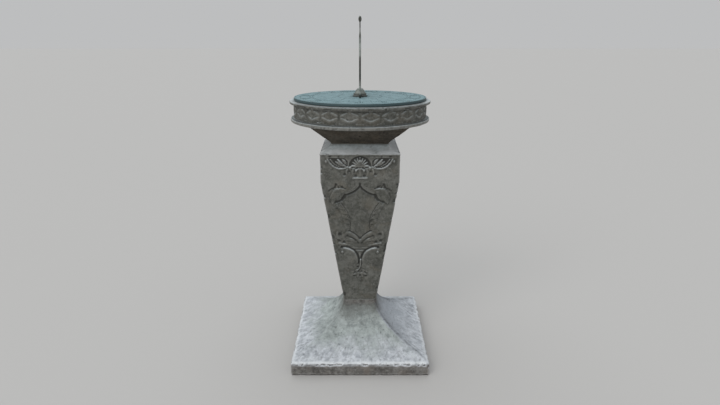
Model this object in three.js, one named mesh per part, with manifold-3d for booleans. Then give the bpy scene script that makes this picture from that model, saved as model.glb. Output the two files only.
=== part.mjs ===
// A garden sundial: a carved stone pedestal that carries a round bronze dial and its gnomon.
//
// Millimetres, +Z up. The origin is the centre of the plinth's underside. The front faces -Y, and the
// gnomon stands in the plane X = 0, with its sloping style falling away to the rear.
//
// From the ground up the pedestal is plinth stone, mortar, shaft stone, mortar, capital stone, mortar
// and drum stone. A bronze dowel crosses each mortar joint, run in lead below and grouted above. The
// dial plate lies on a thin bed on the drum, held by four screws in lead plugs. The gnomon is a pierced
// blade whose tenons pass through the plate, with a cheek screwed to the plate on either side of it.

import * as THREE from "three";
import { mergeVertices } from "three/addons/utils/BufferGeometryUtils.js";
import Module from "manifold-3d";

const wasm = await Module();
wasm.setup();

// Clearances and facets
const GAP = 0.3;
const ROUND_SIDES = 96;
const SMALL_SIDES = 24;
const CURVE_STEPS = 14;

// Pedestal stones: half-widths of square sections, and heights above the ground. The handles shape the
// curves between them, as [half-width, height] above the ground.
const MORTAR = 3;
const MORTAR_RECESS = 3;
const PLINTH_HALF = 228.5;
const SLAB_HEIGHT = 42.5;
const FOOT_HALF = 57;
const BASE_TOP = 188.5;
const SWEEP_HANDLES = [[130, 85], [58, 118]];
const SHAFT_BOTTOM = BASE_TOP + MORTAR;
const BLOCK_HALF = 123;
const BLOCK_BOTTOM = 633;
const BLOCK_TOP = 725;
const NECK_HALF = 90;
const SHAFT_TOP = 748;
const SHOULDER_HANDLES = [[107, 733], [93, 737]];
const CAPITAL_BOTTOM = SHAFT_TOP + MORTAR;
const CAPITAL_HALF = 148;
const CAPITAL_TOP = 808.5;
const FLARE_HANDLES = [[93, 757], [102, 764]];
const DRUM_BOTTOM = CAPITAL_TOP + MORTAR;
const DRUM_TOP = 877;

// Drum mouldings
const LOWER_LIP_RADIUS = 222;
const LOWER_LIP_TOP = 823;
const BAND_RADIUS = 211;
const UPPER_LIP_RADIUS = 224;
const UPPER_LIP_BOTTOM = 867.5;
const LIP_ROUND = 3;

// Dowels across the mortar joints
const DOWEL_RADIUS = 10;
const SOCKET_RADIUS = 14;
const LONG_SOCKET = 62;
const SHORT_SOCKET = 36;
const SHALLOW_SOCKET = 22;

// Dial plate and its fixings
const DIAL_BED = 1;
const DIAL_BED_RECESS = 4;
const DIAL_RADIUS = 210;
const DIAL_THICKNESS = 8;
const DIAL_BEVEL = 1.5;
const DIAL_UNDERSIDE = DRUM_TOP + DIAL_BED;
const DIAL_FACE = DIAL_UNDERSIDE + DIAL_THICKNESS;
const DIAL_SCREWS = 4;
const DIAL_SCREW_CIRCLE = 199;
const SCREW_RADIUS = 2.5;
const SCREW_HEAD_RADIUS = 4.8;
const SCREW_HEAD_DEPTH = 3;
const SCREW_SLOT = 1.2;
const DIAL_SCREW_LENGTH = 40;
const PLUG_RADIUS = 6;
const PLUG_DEPTH = 38;

// Gnomon: positions along Y, and heights above the dial's face
const LATITUDE = THREE.MathUtils.degToRad(51.5);
const STYLE_HEIGHT = 239;
const TIP_Y = -45;
const ROOT_Y = TIP_Y + STYLE_HEIGHT / Math.tan(LATITUDE);
const BLADE_THICKNESS = 6;
const RAIL = 14;
const TOE_Y = -62;
const TENON_LENGTH = 16;
const TENON_DEPTH = DIAL_THICKNESS - 0.5;
const TENONS_Y = [-42, 92];
const CHEEK_RADIUS = 23;
const CHEEK_DEPTH_SCALE = 1.1;
const CHEEK_HEIGHT = 25;
const RIVET_HEIGHT = 8;
const RIVET_RADIUS = 2;
const RIVET_HEAD_RADIUS = 4;
const RIVET_SEAT = 21.5;
const CHEEK_SCREW_X = 12;
const CHEEK_SCREW_Y = 8;
const CHEEK_SCREW_LENGTH = 20;

const stone = new THREE.MeshStandardMaterial({ color: 0x7e817b, roughness: 0.9, metalness: 0 });
const mortar = new THREE.MeshStandardMaterial({ color: 0x94918a, roughness: 0.95, metalness: 0 });
const verdigris = new THREE.MeshStandardMaterial({ color: 0x83a2a6, roughness: 0.6, metalness: 0.3 });
const bronze = new THREE.MeshStandardMaterial({ color: 0x77756a, roughness: 0.5, metalness: 0.7 });
const lead = new THREE.MeshStandardMaterial({ color: 0x6c7175, roughness: 0.7, metalness: 0.5 });

// --- Geometry helpers ---

function solid(geometry) {
  const bare = geometry.clone();
  bare.deleteAttribute("normal");
  bare.deleteAttribute("uv");
  const merged = mergeVertices(bare);
  const vertProperties = merged.attributes.position.array;
  const triVerts = new Uint32Array(merged.index.array);
  return new wasm.Manifold(new wasm.Mesh({ numProp: 3, vertProperties, triVerts }));
}

function geometryOf(body) {
  const mesh = body.getMesh();
  const geometry = new THREE.BufferGeometry();
  geometry.setAttribute("position", new THREE.BufferAttribute(mesh.vertProperties, 3));
  geometry.setIndex(new THREE.BufferAttribute(mesh.triVerts, 1));
  geometry.computeVertexNormals();
  return geometry;
}

function cut(geometry, ...tools) {
  return geometryOf(tools.reduce((body, tool) => body.subtract(solid(tool)), solid(geometry)));
}

function keepInside(geometry, tool) {
  return geometryOf(solid(geometry).intersect(solid(tool)));
}

// A profile of [radius, height] pairs from bottom to top, turned about Z and closed on the axis.
function turned(profile, sides) {
  const first = profile[0];
  const last = profile[profile.length - 1];
  const closed = [[0, first[1]], ...profile, [0, last[1]]];
  const points = closed.map(([radius, height]) => new THREE.Vector2(radius, height));
  return new THREE.LatheGeometry(points, sides).rotateX(Math.PI / 2);
}

// A stack of square sections, from [half-width, height] pairs: a turning with four sides.
function squareStack(profile) {
  const corners = profile.map(([half, height]) => [half * Math.SQRT2, height]);
  return turned(corners, 4).rotateZ(Math.PI / 4);
}

function rod(radius, bottom, top, sides = SMALL_SIDES) {
  return turned([[radius, bottom], [radius, top]], sides);
}

// A ring with a square section: a sleeve or a washer.
function sleeve(inner, outer, bottom, top) {
  const corners = [[inner, bottom], [outer, bottom], [outer, top], [inner, top], [inner, bottom]];
  const points = corners.map(([radius, height]) => new THREE.Vector2(radius, height));
  return new THREE.LatheGeometry(points, SMALL_SIDES).rotateX(Math.PI / 2);
}

// Points of a Bezier curve between two [a, b] ends, with the handles between them.
function curvePoints(from, handle1, handle2, to, steps = CURVE_STEPS) {
  const ends = [from, handle1, handle2, to].map(([a, b]) => new THREE.Vector2(a, b));
  return new THREE.CubicBezierCurve(...ends).getPoints(steps).map((p) => [p.x, p.y]);
}

function part(name, geometry, material, x = 0, y = 0, z = 0) {
  const mesh = new THREE.Mesh(geometry, material);
  mesh.name = name;
  mesh.position.set(x, y, z);
  return mesh;
}

// --- Pedestal stones ---

// A stone shaped in heights above the ground, then named and set on its own bed at height z.
function setStone(name, z, geometry, ...sockets) {
  return part(name, cut(geometry, ...sockets).translate(0, 0, -z), stone, 0, 0, z);
}

function basePlinth() {
  const sweep = curvePoints([PLINTH_HALF, SLAB_HEIGHT], ...SWEEP_HANDLES, [FOOT_HALF, BASE_TOP]);
  const socket = rod(SOCKET_RADIUS, BASE_TOP - LONG_SOCKET, BASE_TOP + 1);
  return setStone("base_plinth", 0, squareStack([[PLINTH_HALF, 0], ...sweep]), socket);
}

function shaft() {
  const shoulder = curvePoints([BLOCK_HALF, BLOCK_TOP], ...SHOULDER_HANDLES, [NECK_HALF, SHAFT_TOP], 8);
  const shape = squareStack([[FOOT_HALF, SHAFT_BOTTOM], [BLOCK_HALF, BLOCK_BOTTOM], ...shoulder]);
  const lowerSocket = rod(SOCKET_RADIUS, SHAFT_BOTTOM - 1, SHAFT_BOTTOM + LONG_SOCKET);
  const upperSocket = rod(SOCKET_RADIUS, SHAFT_TOP - LONG_SOCKET, SHAFT_TOP + 1);
  return setStone("shaft", SHAFT_BOTTOM, shape, lowerSocket, upperSocket);
}

function capital() {
  const flare = curvePoints([NECK_HALF, CAPITAL_BOTTOM], ...FLARE_HANDLES, [CAPITAL_HALF, CAPITAL_TOP], 8);
  const lowerSocket = rod(SOCKET_RADIUS, CAPITAL_BOTTOM - 1, SHAFT_TOP + SHORT_SOCKET);
  const upperSocket = rod(SOCKET_RADIUS, CAPITAL_TOP - SHALLOW_SOCKET, CAPITAL_TOP + 1);
  return setStone("capital", CAPITAL_BOTTOM, squareStack(flare), lowerSocket, upperSocket);
}

function drumHead() {
  const profile = [
    [LOWER_LIP_RADIUS - LIP_ROUND, DRUM_BOTTOM],
    [LOWER_LIP_RADIUS, DRUM_BOTTOM + LIP_ROUND],
    [LOWER_LIP_RADIUS, LOWER_LIP_TOP - LIP_ROUND],
    [LOWER_LIP_RADIUS - LIP_ROUND, LOWER_LIP_TOP],
    [BAND_RADIUS, LOWER_LIP_TOP],
    [BAND_RADIUS, UPPER_LIP_BOTTOM],
    [UPPER_LIP_RADIUS - LIP_ROUND, UPPER_LIP_BOTTOM],
    [UPPER_LIP_RADIUS, UPPER_LIP_BOTTOM + LIP_ROUND],
    [UPPER_LIP_RADIUS, DRUM_TOP - LIP_ROUND],
    [UPPER_LIP_RADIUS - LIP_ROUND, DRUM_TOP],
  ];
  const socket = rod(SOCKET_RADIUS, DRUM_BOTTOM - 1, CAPITAL_TOP + SHORT_SOCKET);
  const plugHoles = dialScrewPlaces().map(([x, y]) =>
    rod(PLUG_RADIUS + GAP, DRUM_TOP - PLUG_DEPTH - GAP, DRUM_TOP + 1).translate(x, y, 0),
  );
  return setStone("drum_head", DRUM_BOTTOM, turned(profile, ROUND_SIDES), socket, ...plugHoles);
}

function mortarBed(name, half, z) {
  const pad = squareStack([[half - MORTAR_RECESS, 0], [half - MORTAR_RECESS, MORTAR]]);
  return part(name, cut(pad, rod(SOCKET_RADIUS, -1, MORTAR + 1)), mortar, 0, 0, z);
}

// A dowel across the joint whose underside is at jointZ, with the fill around it. Both depths are
// measured from jointZ.
function dowelSet(name, jointZ, depthBelow, depthAbove) {
  const pinBottom = jointZ - depthBelow + GAP;
  const pinTop = jointZ + depthAbove - GAP;
  const inner = DOWEL_RADIUS + GAP;
  const outer = SOCKET_RADIUS - GAP;
  return [
    part(`${name}_dowel`, rod(DOWEL_RADIUS, 0, pinTop - pinBottom), bronze, 0, 0, pinBottom),
    part(`${name}_dowel_lead`, sleeve(inner, outer, 0, jointZ - pinBottom), lead, 0, 0, pinBottom),
    part(`${name}_dowel_grout`, sleeve(inner, outer, 0, pinTop - jointZ - GAP), mortar, 0, 0, jointZ + GAP),
  ];
}

// --- Dial plate and its fixings ---

function dialScrewPlaces() {
  return Array.from({ length: DIAL_SCREWS }, (_, i) => {
    const angle = Math.PI / 4 + (i * 2 * Math.PI) / DIAL_SCREWS;
    return [DIAL_SCREW_CIRCLE * Math.cos(angle), DIAL_SCREW_CIRCLE * Math.sin(angle)];
  });
}

// A slotted countersunk screw that hangs down from the top of its head, at height 0.
function countersunkScrew(length) {
  const profile = [
    [SCREW_RADIUS, -length],
    [SCREW_RADIUS, -SCREW_HEAD_DEPTH],
    [SCREW_HEAD_RADIUS, -0.4],
    [SCREW_HEAD_RADIUS, 0],
  ];
  const slot = new THREE.BoxGeometry(2 * SCREW_HEAD_RADIUS + 2, SCREW_SLOT, 3).translate(0, 0, 0.2);
  return cut(turned(profile, SMALL_SIDES), slot);
}

// The hole for that screw, from its head's top at height 0 down through a plate.
function countersunkHole(depth) {
  return turned(
    [
      [SCREW_RADIUS + GAP, -depth],
      [SCREW_RADIUS + GAP, -SCREW_HEAD_DEPTH],
      [SCREW_HEAD_RADIUS + GAP, -0.4],
      [SCREW_HEAD_RADIUS + GAP, 1],
    ],
    SMALL_SIDES,
  );
}

function dialBed() {
  const sheet = rod(DIAL_RADIUS - DIAL_BED_RECESS, 0, DIAL_BED, ROUND_SIDES);
  const holes = dialScrewPlaces().map(([x, y]) => rod(PLUG_RADIUS, -1, DIAL_BED + 1).translate(x, y, 0));
  return part("dial_bed", cut(sheet, ...holes), mortar, 0, 0, DRUM_TOP);
}

function dialPlate() {
  const rim = DIAL_RADIUS - DIAL_BEVEL;
  const shoulder = DIAL_THICKNESS - DIAL_BEVEL;
  const disc = turned([[DIAL_RADIUS, 0], [DIAL_RADIUS, shoulder], [rim, DIAL_THICKNESS]], ROUND_SIDES);
  const rimHoles = dialScrewPlaces().map(([x, y]) =>
    countersunkHole(DIAL_THICKNESS + 1).translate(x, y, DIAL_THICKNESS),
  );
  const cheekHoles = cheekScrewPlaces().map(({ x, y }) =>
    countersunkHole(DIAL_THICKNESS + 1).rotateX(Math.PI).translate(x, y, 0),
  );
  const slots = TENONS_Y.map((y) =>
    new THREE.BoxGeometry(BLADE_THICKNESS + 2 * GAP, TENON_LENGTH + 2 * GAP, 2 * DIAL_THICKNESS + 2)
      .translate(0, y, DIAL_THICKNESS / 2),
  );
  const plate = cut(disc, ...rimHoles, ...cheekHoles, ...slots);
  return part("dial_plate", plate, verdigris, 0, 0, DIAL_UNDERSIDE);
}

function dialFixings() {
  return dialScrewPlaces().flatMap(([x, y], i) => {
    const plug = sleeve(SCREW_RADIUS + GAP, PLUG_RADIUS, 0, PLUG_DEPTH);
    return [
      part(`dial_screw_${i + 1}`, countersunkScrew(DIAL_SCREW_LENGTH), bronze, x, y, DIAL_FACE),
      part(`dial_plug_${i + 1}`, plug, lead, x, y, DRUM_TOP - PLUG_DEPTH),
    ];
  });
}

// --- Gnomon, drawn in the plane of Y (first) and height above the dial's face (second) ---

// Height of the style rail's lower edge above the face, at a place along Y.
function railUnderside(y, width = RAIL) {
  return (ROOT_Y - y) * Math.tan(LATITUDE) - width / Math.cos(LATITUDE);
}

function bladeOutline() {
  const outline = new THREE.Shape();
  outline.moveTo(ROOT_Y, 0);
  outline.lineTo(TIP_Y, STYLE_HEIGHT);
  // the beak, then the neck under it
  outline.bezierCurveTo(TIP_Y + 4, 226, TIP_Y + 5, 214, -34, 204);
  outline.bezierCurveTo(-30, 198, -32, 188, -24, 176);
  // the upper scroll's belly, then the waist
  outline.bezierCurveTo(-48, 172, -62, 140, -62, 108);
  outline.bezierCurveTo(-62, 84, -46, 74, -46, 56);
  outline.bezierCurveTo(-46, 50, -47, 45, -44, 41);
  // the toe scroll
  outline.bezierCurveTo(-54, 42, TOE_Y, 34, TOE_Y, 20);
  outline.lineTo(TOE_Y, 0);
  for (const y of TENONS_Y) {
    outline.lineTo(y - TENON_LENGTH / 2, 0);
    outline.lineTo(y - TENON_LENGTH / 2, -TENON_DEPTH);
    outline.lineTo(y + TENON_LENGTH / 2, -TENON_DEPTH);
    outline.lineTo(y + TENON_LENGTH / 2, 0);
  }
  outline.closePath();
  return outline;
}

// The ring lies in the corner of the frame, touching the base rail, the style rail and the support.
const RING_CENTRE = [11, 61];
const RING_OUTER = 49;
const RING_INNER = 40;

// Directions around the ring, as angles from +Y towards +Z.
function onRing(angle, radius = RING_OUTER) {
  return [RING_CENTRE[0] + radius * Math.cos(angle), RING_CENTRE[1] + radius * Math.sin(angle)];
}

// An opening bounded by straight sides through the given points and, between the last and the first,
// by the ring's outer edge.
function openingBesideRing(startAngle, endAngle, points) {
  const hole = new THREE.Path();
  const [cy, cz] = RING_CENTRE;
  hole.moveTo(...onRing(startAngle));
  hole.absarc(cy, cz, RING_OUTER, startAngle, endAngle, startAngle > endAngle);
  points.forEach((p) => hole.lineTo(...p));
  hole.closePath();
  return hole;
}

function bladeOpenings() {
  const rad = THREE.MathUtils.degToRad;
  const heel = ROOT_Y - RAIL / Math.sin(LATITUDE) - RAIL / Math.tan(LATITUDE);
  const rearCorner = openingBesideRing(rad(20), rad(-60), [[heel - 4, RAIL], [heel - 5, RAIL + 3]]);
  const topCorner = openingBesideRing(rad(140), rad(60), [
    [6, railUnderside(6)],
    [-11, railUnderside(-11, RAIL + 1)],
    [-26, 150],
    [-37, 118],
  ]);
  const frontCorner = openingBesideRing(rad(-125), rad(-165), [[-41, 36], [-37, RAIL + 4], [-30, RAIL]]);
  const ring = new THREE.Path();
  ring.absarc(...RING_CENTRE, RING_INNER, 0, 2 * Math.PI, true);
  const rivet = new THREE.Path();
  rivet.absarc(0, RIVET_HEIGHT, RIVET_RADIUS + GAP, 0, 2 * Math.PI, true);
  return [rearCorner, topCorner, frontCorner, ring, rivet];
}

function gnomonBlade() {
  const outline = bladeOutline();
  outline.holes = bladeOpenings();
  const plate = new THREE.ExtrudeGeometry(outline, {
    depth: BLADE_THICKNESS,
    bevelEnabled: false,
    curveSegments: CURVE_STEPS,
  }).translate(0, 0, -BLADE_THICKNESS / 2);
  const mesh = part("gnomon_blade", plate, bronze, 0, 0, DIAL_FACE);
  mesh.rotation.set(Math.PI / 2, Math.PI / 2, 0);
  return mesh;
}

function alongX(geometry) {
  return geometry.rotateY(Math.PI / 2);
}

// Two screws come up through the plate into each cheek.
function cheekScrewPlaces() {
  const sides = [["left", -1], ["right", 1]];
  const ends = [["front", -1], ["rear", 1]];
  return sides.flatMap(([sideName, side]) =>
    ends.map(([endName, end]) => ({
      name: `cheek_screw_${sideName}_${endName}`,
      side,
      x: side * CHEEK_SCREW_X,
      y: end * CHEEK_SCREW_Y,
    })),
  );
}

function cheek(name, side) {
  const crown = curvePoints([CHEEK_RADIUS, 7], [CHEEK_RADIUS, 17], [13, 20], [9, CHEEK_HEIGHT], 8);
  const dome = turned([[CHEEK_RADIUS, 0], ...crown], 2 * SMALL_SIDES).scale(1, CHEEK_DEPTH_SCALE, 1);
  const inner = BLADE_THICKNESS / 2 + GAP;
  const half = new THREE.BoxGeometry(CHEEK_RADIUS, 2 * CHEEK_RADIUS, 2 * CHEEK_HEIGHT + 2);
  const halfDome = keepInside(dome, half.translate(side * (inner + CHEEK_RADIUS / 2), 0, CHEEK_HEIGHT));
  const rivetHole = alongX(rod(RIVET_RADIUS + GAP, -40, 40)).translate(0, 0, RIVET_HEIGHT);
  const rivetSeat = alongX(rod(RIVET_HEAD_RADIUS + GAP, RIVET_SEAT, 40));
  const screwHole = rod(SCREW_RADIUS + GAP, -1, CHEEK_SCREW_LENGTH - DIAL_THICKNESS + 1);
  const screwPlaces = cheekScrewPlaces().filter((place) => place.side === side);
  const shape = cut(
    halfDome,
    rivetHole,
    rivetSeat.rotateZ(side > 0 ? 0 : Math.PI).translate(0, 0, RIVET_HEIGHT),
    ...screwPlaces.map(({ x, y }) => screwHole.clone().translate(x, y, 0)),
  );
  return part(name, shape, bronze, 0, 0, DIAL_FACE);
}

function gnomonRivet() {
  const seat = RIVET_SEAT + GAP;
  const crown = seat + 2.4;
  const rim = RIVET_HEAD_RADIUS;
  const profile = [
    [rim * 0.55, -crown],
    [rim, -seat - 0.8],
    [rim, -seat],
    [RIVET_RADIUS, -seat],
    [RIVET_RADIUS, seat],
    [rim, seat],
    [rim, seat + 0.8],
    [rim * 0.55, crown],
  ];
  return part("gnomon_rivet", alongX(turned(profile, SMALL_SIDES)), bronze, 0, 0, DIAL_FACE + RIVET_HEIGHT);
}

function cheekScrews() {
  return cheekScrewPlaces().map(({ name, x, y }) => {
    const mesh = part(name, countersunkScrew(CHEEK_SCREW_LENGTH), bronze, x, y, DIAL_UNDERSIDE + GAP);
    mesh.rotation.x = Math.PI;
    return mesh;
  });
}

// --- Assembly ---

const pedestal = new THREE.Group();
pedestal.add(
  basePlinth(),
  mortarBed("base_joint_mortar", FOOT_HALF, BASE_TOP),
  shaft(),
  mortarBed("neck_joint_mortar", NECK_HALF, SHAFT_TOP),
  capital(),
  mortarBed("drum_joint_mortar", CAPITAL_HALF, CAPITAL_TOP),
  drumHead(),
  ...dowelSet("base", BASE_TOP, LONG_SOCKET, MORTAR + LONG_SOCKET),
  ...dowelSet("neck", SHAFT_TOP, LONG_SOCKET, SHORT_SOCKET),
  ...dowelSet("drum", CAPITAL_TOP, SHALLOW_SOCKET, SHORT_SOCKET),
);

const dial = new THREE.Group();
dial.add(dialBed(), dialPlate(), ...dialFixings());

const gnomon = new THREE.Group();
gnomon.add(
  gnomonBlade(),
  cheek("gnomon_cheek_left", -1),
  cheek("gnomon_cheek_right", 1),
  gnomonRivet(),
  ...cheekScrews(),
);

const sundial = new THREE.Group();
sundial.add(pedestal, dial, gnomon);

export default sundial;
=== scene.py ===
"""A weathered garden sundial: a carved square stone pedestal, a round bronze dial and its gnomon.

Sizes in this file are millimetres until a mesh is made; MM turns them into Blender's metres.
The front of the pedestal faces -Y.
"""

import math
from itertools import product

import bpy
import numpy as np
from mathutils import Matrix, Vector
from mathutils.geometry import delaunay_2d_cdt


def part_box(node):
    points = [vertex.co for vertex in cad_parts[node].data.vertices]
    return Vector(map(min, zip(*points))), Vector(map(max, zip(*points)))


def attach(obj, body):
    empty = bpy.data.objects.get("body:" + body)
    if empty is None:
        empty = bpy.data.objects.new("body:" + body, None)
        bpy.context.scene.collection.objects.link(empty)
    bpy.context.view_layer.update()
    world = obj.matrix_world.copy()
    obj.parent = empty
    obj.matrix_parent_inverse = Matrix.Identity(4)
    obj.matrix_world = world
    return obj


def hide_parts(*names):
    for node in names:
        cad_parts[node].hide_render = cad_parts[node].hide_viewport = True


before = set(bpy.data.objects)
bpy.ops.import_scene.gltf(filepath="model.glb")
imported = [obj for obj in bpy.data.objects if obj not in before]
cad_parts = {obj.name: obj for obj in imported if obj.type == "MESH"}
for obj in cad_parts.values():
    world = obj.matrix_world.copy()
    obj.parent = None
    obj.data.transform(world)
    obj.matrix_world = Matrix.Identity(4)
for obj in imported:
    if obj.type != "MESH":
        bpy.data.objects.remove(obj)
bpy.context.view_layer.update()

MM = 0.001
BODY = "root"


def node_box(name):
    """The lowest and highest corner of a CAD node, in millimetres."""
    low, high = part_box(name)
    return np.array(low) / MM, np.array(high) / MM


# ---------------------------------------------------------------- sizes taken from the frame

MORTAR_RECESS = 3.0
BASE_HALF, _, BASE_TOP = node_box("base_plinth")[1]
(_, _, SHAFT_BOTTOM), (BLOCK_HALF, _, SHAFT_TOP) = node_box("shaft")
(_, _, CAPITAL_BOTTOM), (CAPITAL_HALF, _, CAPITAL_TOP) = node_box("capital")
(_, _, DRUM_BOTTOM), (UPPER_LIP, _, DRUM_TOP) = node_box("drum_head")
(_, _, PLATE_BOTTOM), (PLATE_RADIUS, _, PLATE_TOP) = node_box("dial_plate")
(_, TOE_Y, TENON_BOTTOM), (BLADE_HALF, ROOT_Y, TIP_TOP) = node_box("gnomon_blade")
FOOT_HALF = node_box("base_joint_mortar")[1][0] + MORTAR_RECESS
NECK_HALF = node_box("neck_joint_mortar")[1][0] + MORTAR_RECESS
SOCKET_RADIUS = node_box("base_dowel_lead")[1][0] + 0.3

# Heights and half-widths that shape the stones between those limits
SLAB_TOP = 42.5
BLOCK_BOTTOM = 633.0
BLOCK_TOP = 725.0
LOWER_LIP = 222.0
LOWER_LIP_TOP = 823.0
BAND_RADIUS = 211.0
BAND_TOP = 850.0
UPPER_LIP_BOTTOM = 867.5


# ---------------------------------------------------------------- numbers: noise, paths, blurs

GRADIENTS = np.random.default_rng(11).normal(size=(256, 3))
GRADIENTS /= np.linalg.norm(GRADIENTS, axis=1, keepdims=True)


def gradient_noise(points, size, seed=0):
    """Smooth noise of about -1 to 1 at (..., 3) points in mm, with features of the given size."""
    spots = np.asarray(points, float) / size
    cell = np.floor(spots).astype(np.int64)
    part = spots - cell
    ease = part**3 * (part * (part * 6 - 15) + 10)
    total = np.zeros(spots.shape[:-1])
    for corner in product((0, 1), repeat=3):
        at = cell + corner
        key = at[..., 0] * 73856093 ^ at[..., 1] * 19349663 ^ at[..., 2] * 83492791 ^ seed * 26544357
        pull = (GRADIENTS[key & 255] * (part - corner)).sum(-1)
        total += np.where(corner, ease, 1 - ease).prod(-1) * pull
    return total * 1.6


def layered_noise(points, size, octaves=4, seed=0):
    """Noise with finer and weaker layers added to it."""
    return sum(gradient_noise(points, size / 2**i, seed + i) / 2**i for i in range(octaves))


def smooth(x, low, high):
    """0 below low, 1 above high, with an eased rise between them."""
    t = np.clip((x - low) / (high - low), 0, 1)
    return t * t * (3 - 2 * t)


def bell(distance, width):
    """1 at no distance, fading evenly to nothing at about twice the width."""
    return np.exp(-((distance / width) ** 2))


def unit(x):
    return np.clip(x, 0, 1)


def blurred(field, passes):
    """A height field softened on a grid that closes on itself from left to right."""
    for _ in range(passes):
        field = (np.roll(field, 1, 1) + 2 * field + np.roll(field, -1, 1)) / 4
        padded = np.concatenate([field[:1], field, field[-1:]])
        field = (padded[:-2] + 2 * padded[1:-1] + padded[2:]) / 4
    return field


def bezier(*points, steps=14):
    """A polyline along one or more joined cubic Bezier curves, given as 4, 7, 10 ... points."""
    points = np.array(points, float)
    t = np.linspace(0, 1, steps + 1)[:, None]
    pieces = [points[:1]]
    for i in range(0, len(points) - 1, 3):
        a, b, c, d = points[i : i + 4]
        piece = a * (1 - t) ** 3 + 3 * b * t * (1 - t) ** 2 + 3 * c * t**2 * (1 - t) + d * t**3
        pieces.append(piece[1:])
    return np.concatenate(pieces)


def spiral(centre, radius, start, turns, inner=0.2):
    """A polyline that winds inwards; start is in degrees, and negative turns wind clockwise."""
    t = np.linspace(0, 1, 28)
    angle = math.radians(start) + t * turns * 2 * math.pi
    reach = radius * (1 - (1 - inner) * t)
    return np.array(centre) + np.stack([reach * np.cos(angle), reach * np.sin(angle)], 1)


def lengths(path):
    """How far along a polyline each of its points is."""
    return np.concatenate([[0], np.cumsum(np.hypot(*np.diff(path, axis=0).T))])


def path_distance(path, u, v):
    """Distance from points to a polyline, how far along it (0 to 1) the nearest place is, and
    whether the point is on the line's left."""
    before = lengths(path)
    best = np.full(u.shape, np.inf)
    along = np.zeros(u.shape)
    left = np.zeros(u.shape, bool)
    for start, step, low, high in zip(path, np.diff(path, axis=0), before, before[1:]):
        du, dv = u - start[0], v - start[1]
        share = unit((du * step[0] + dv * step[1]) / max((high - low) ** 2, 1e-9))
        distance = np.hypot(du - share * step[0], dv - share * step[1])
        closer = distance < best
        best = np.where(closer, distance, best)
        along = np.where(closer, (low + share * (high - low)) / before[-1], along)
        left = np.where(closer, step[0] * dv - step[1] * du > 0, left)
    return best, along, left


def shifted(path, offset):
    """A path moved sideways: to its left where the offset is positive."""
    run = np.gradient(path, axis=0)
    run /= np.maximum(np.hypot(run[:, 0], run[:, 1]), 1e-9)[:, None]
    return path + offset * np.stack([-run[:, 1], run[:, 0]], 1)


def resampled(profile, spacing):
    """A profile's points at even steps along it, keeping its ends; spacing is in mm."""
    profile = np.array(profile, float)
    before = lengths(profile)
    at = np.linspace(0, before[-1], max(2, int(round(before[-1] / spacing)) + 1))
    return np.stack([np.interp(at, before, column) for column in profile.T], 1)


def joined(*stretches):
    """Profile stretches in one array, without the doubled points between them."""
    return np.concatenate([stretches[0]] + [s[1:] for s in stretches[1:]])


def inside_polygon(polygon, u, v):
    """True at the points inside a polygon."""
    inside = np.zeros(u.shape, bool)
    for (u0, v0), (u1, v1) in zip(polygon, np.roll(polygon, -1, axis=0)):
        if v0 != v1:
            inside ^= ((v0 > v) != (v1 > v)) & (u < u0 + (v - v0) * (u1 - u0) / (v1 - v0))
    return inside


class Relief:
    """A carving over points (u, v) of a flat face: heights in mm above it."""

    def __init__(self, u, v):
        self.u, self.v = u, v
        self.height = np.zeros(u.shape)

    def _near(self, path, reach):
        """The points near a path, and their path_distance."""
        path = np.array(path, float)
        (u0, v0), (u1, v1) = path.min(0) - reach, path.max(0) + reach
        spots = (self.u > u0) & (self.u < u1) & (self.v > v0) & (self.v < v1)
        return spots, *path_distance(path, self.u[spots], self.v[spots])

    def _lift(self, spots, inside, value):
        """Raises the ground to a value where it is inside a shape."""
        self.height[spots] = np.maximum(self.height[spots], np.where(inside, value, -99))

    def ridge(self, path, width, height, end=1.0, crisp=0.5):
        """A rib; end is its width at the far end as a share, and a crisp of 1.2 is soft."""
        spots, distance, along, _ = self._near(path, width)
        share = distance / (width * (1 + (end - 1) * along))
        self._lift(spots, share < 1, height * unit(1 - share**2) ** crisp)

    def leaf(self, path, width, height, lobes=0, rib=0.7, crisp=0.4):
        """A pointed leaf with a sunk midrib and an edge cut into lobes."""
        spots, distance, along, _ = self._near(path, width)
        reach = width * np.sin(math.pi * unit(along * 0.9 + 0.08)) ** 0.7
        if lobes:
            reach = reach * (1 - 0.3 * np.abs(np.cos(math.pi * lobes * along)))
        share = distance / np.maximum(reach, 0.01)
        body = height * unit(1 - share**2) ** crisp - rib * bell(distance, 0.12 * width + 0.4)
        self._lift(spots, share < 1, body)

    def swell(self, path, height, fade):
        """Ground that stands proud along the left of a path and fades away from it."""
        spots, distance, along, left = self._near(path, 2.5 * fade)
        ends = unit(6 * np.minimum(along + 0.04, 1.04 - along))
        body = height * ends * np.exp(-distance / fade) * smooth(distance, -1.0, 1.4)
        self._lift(spots, left & (body > 0.12), body)

    def boss(self, centre, radius, height):
        share = np.hypot(self.u - centre[0], self.v - centre[1]) / radius
        self._lift(..., share < 1, height * np.sqrt(unit(1 - share**2)))

    def groove(self, path, width, depth):
        spots, distance, _, _ = self._near(path, 3 * width)
        self.height[spots] -= depth * bell(distance, width)

    def holes(self, *rows):
        """Drilled hollows, each (u, v, radius, depth)."""
        for u, v, radius, depth in rows:
            self.height -= depth * bell(np.hypot(self.u - u, self.v - v), radius)

    def sink(self, outline, depth, softness=1.5):
        """Lowers the ground inside an outline."""
        spots, edge, _, _ = self._near(np.vstack([outline, outline[:1]]), softness)
        inside = inside_polygon(np.array(outline, float), self.u[spots], self.v[spots])
        self.height[spots] -= depth * smooth(np.where(inside, edge, -edge), -softness, softness)


# ---------------------------------------------------------------- meshes and objects

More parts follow.
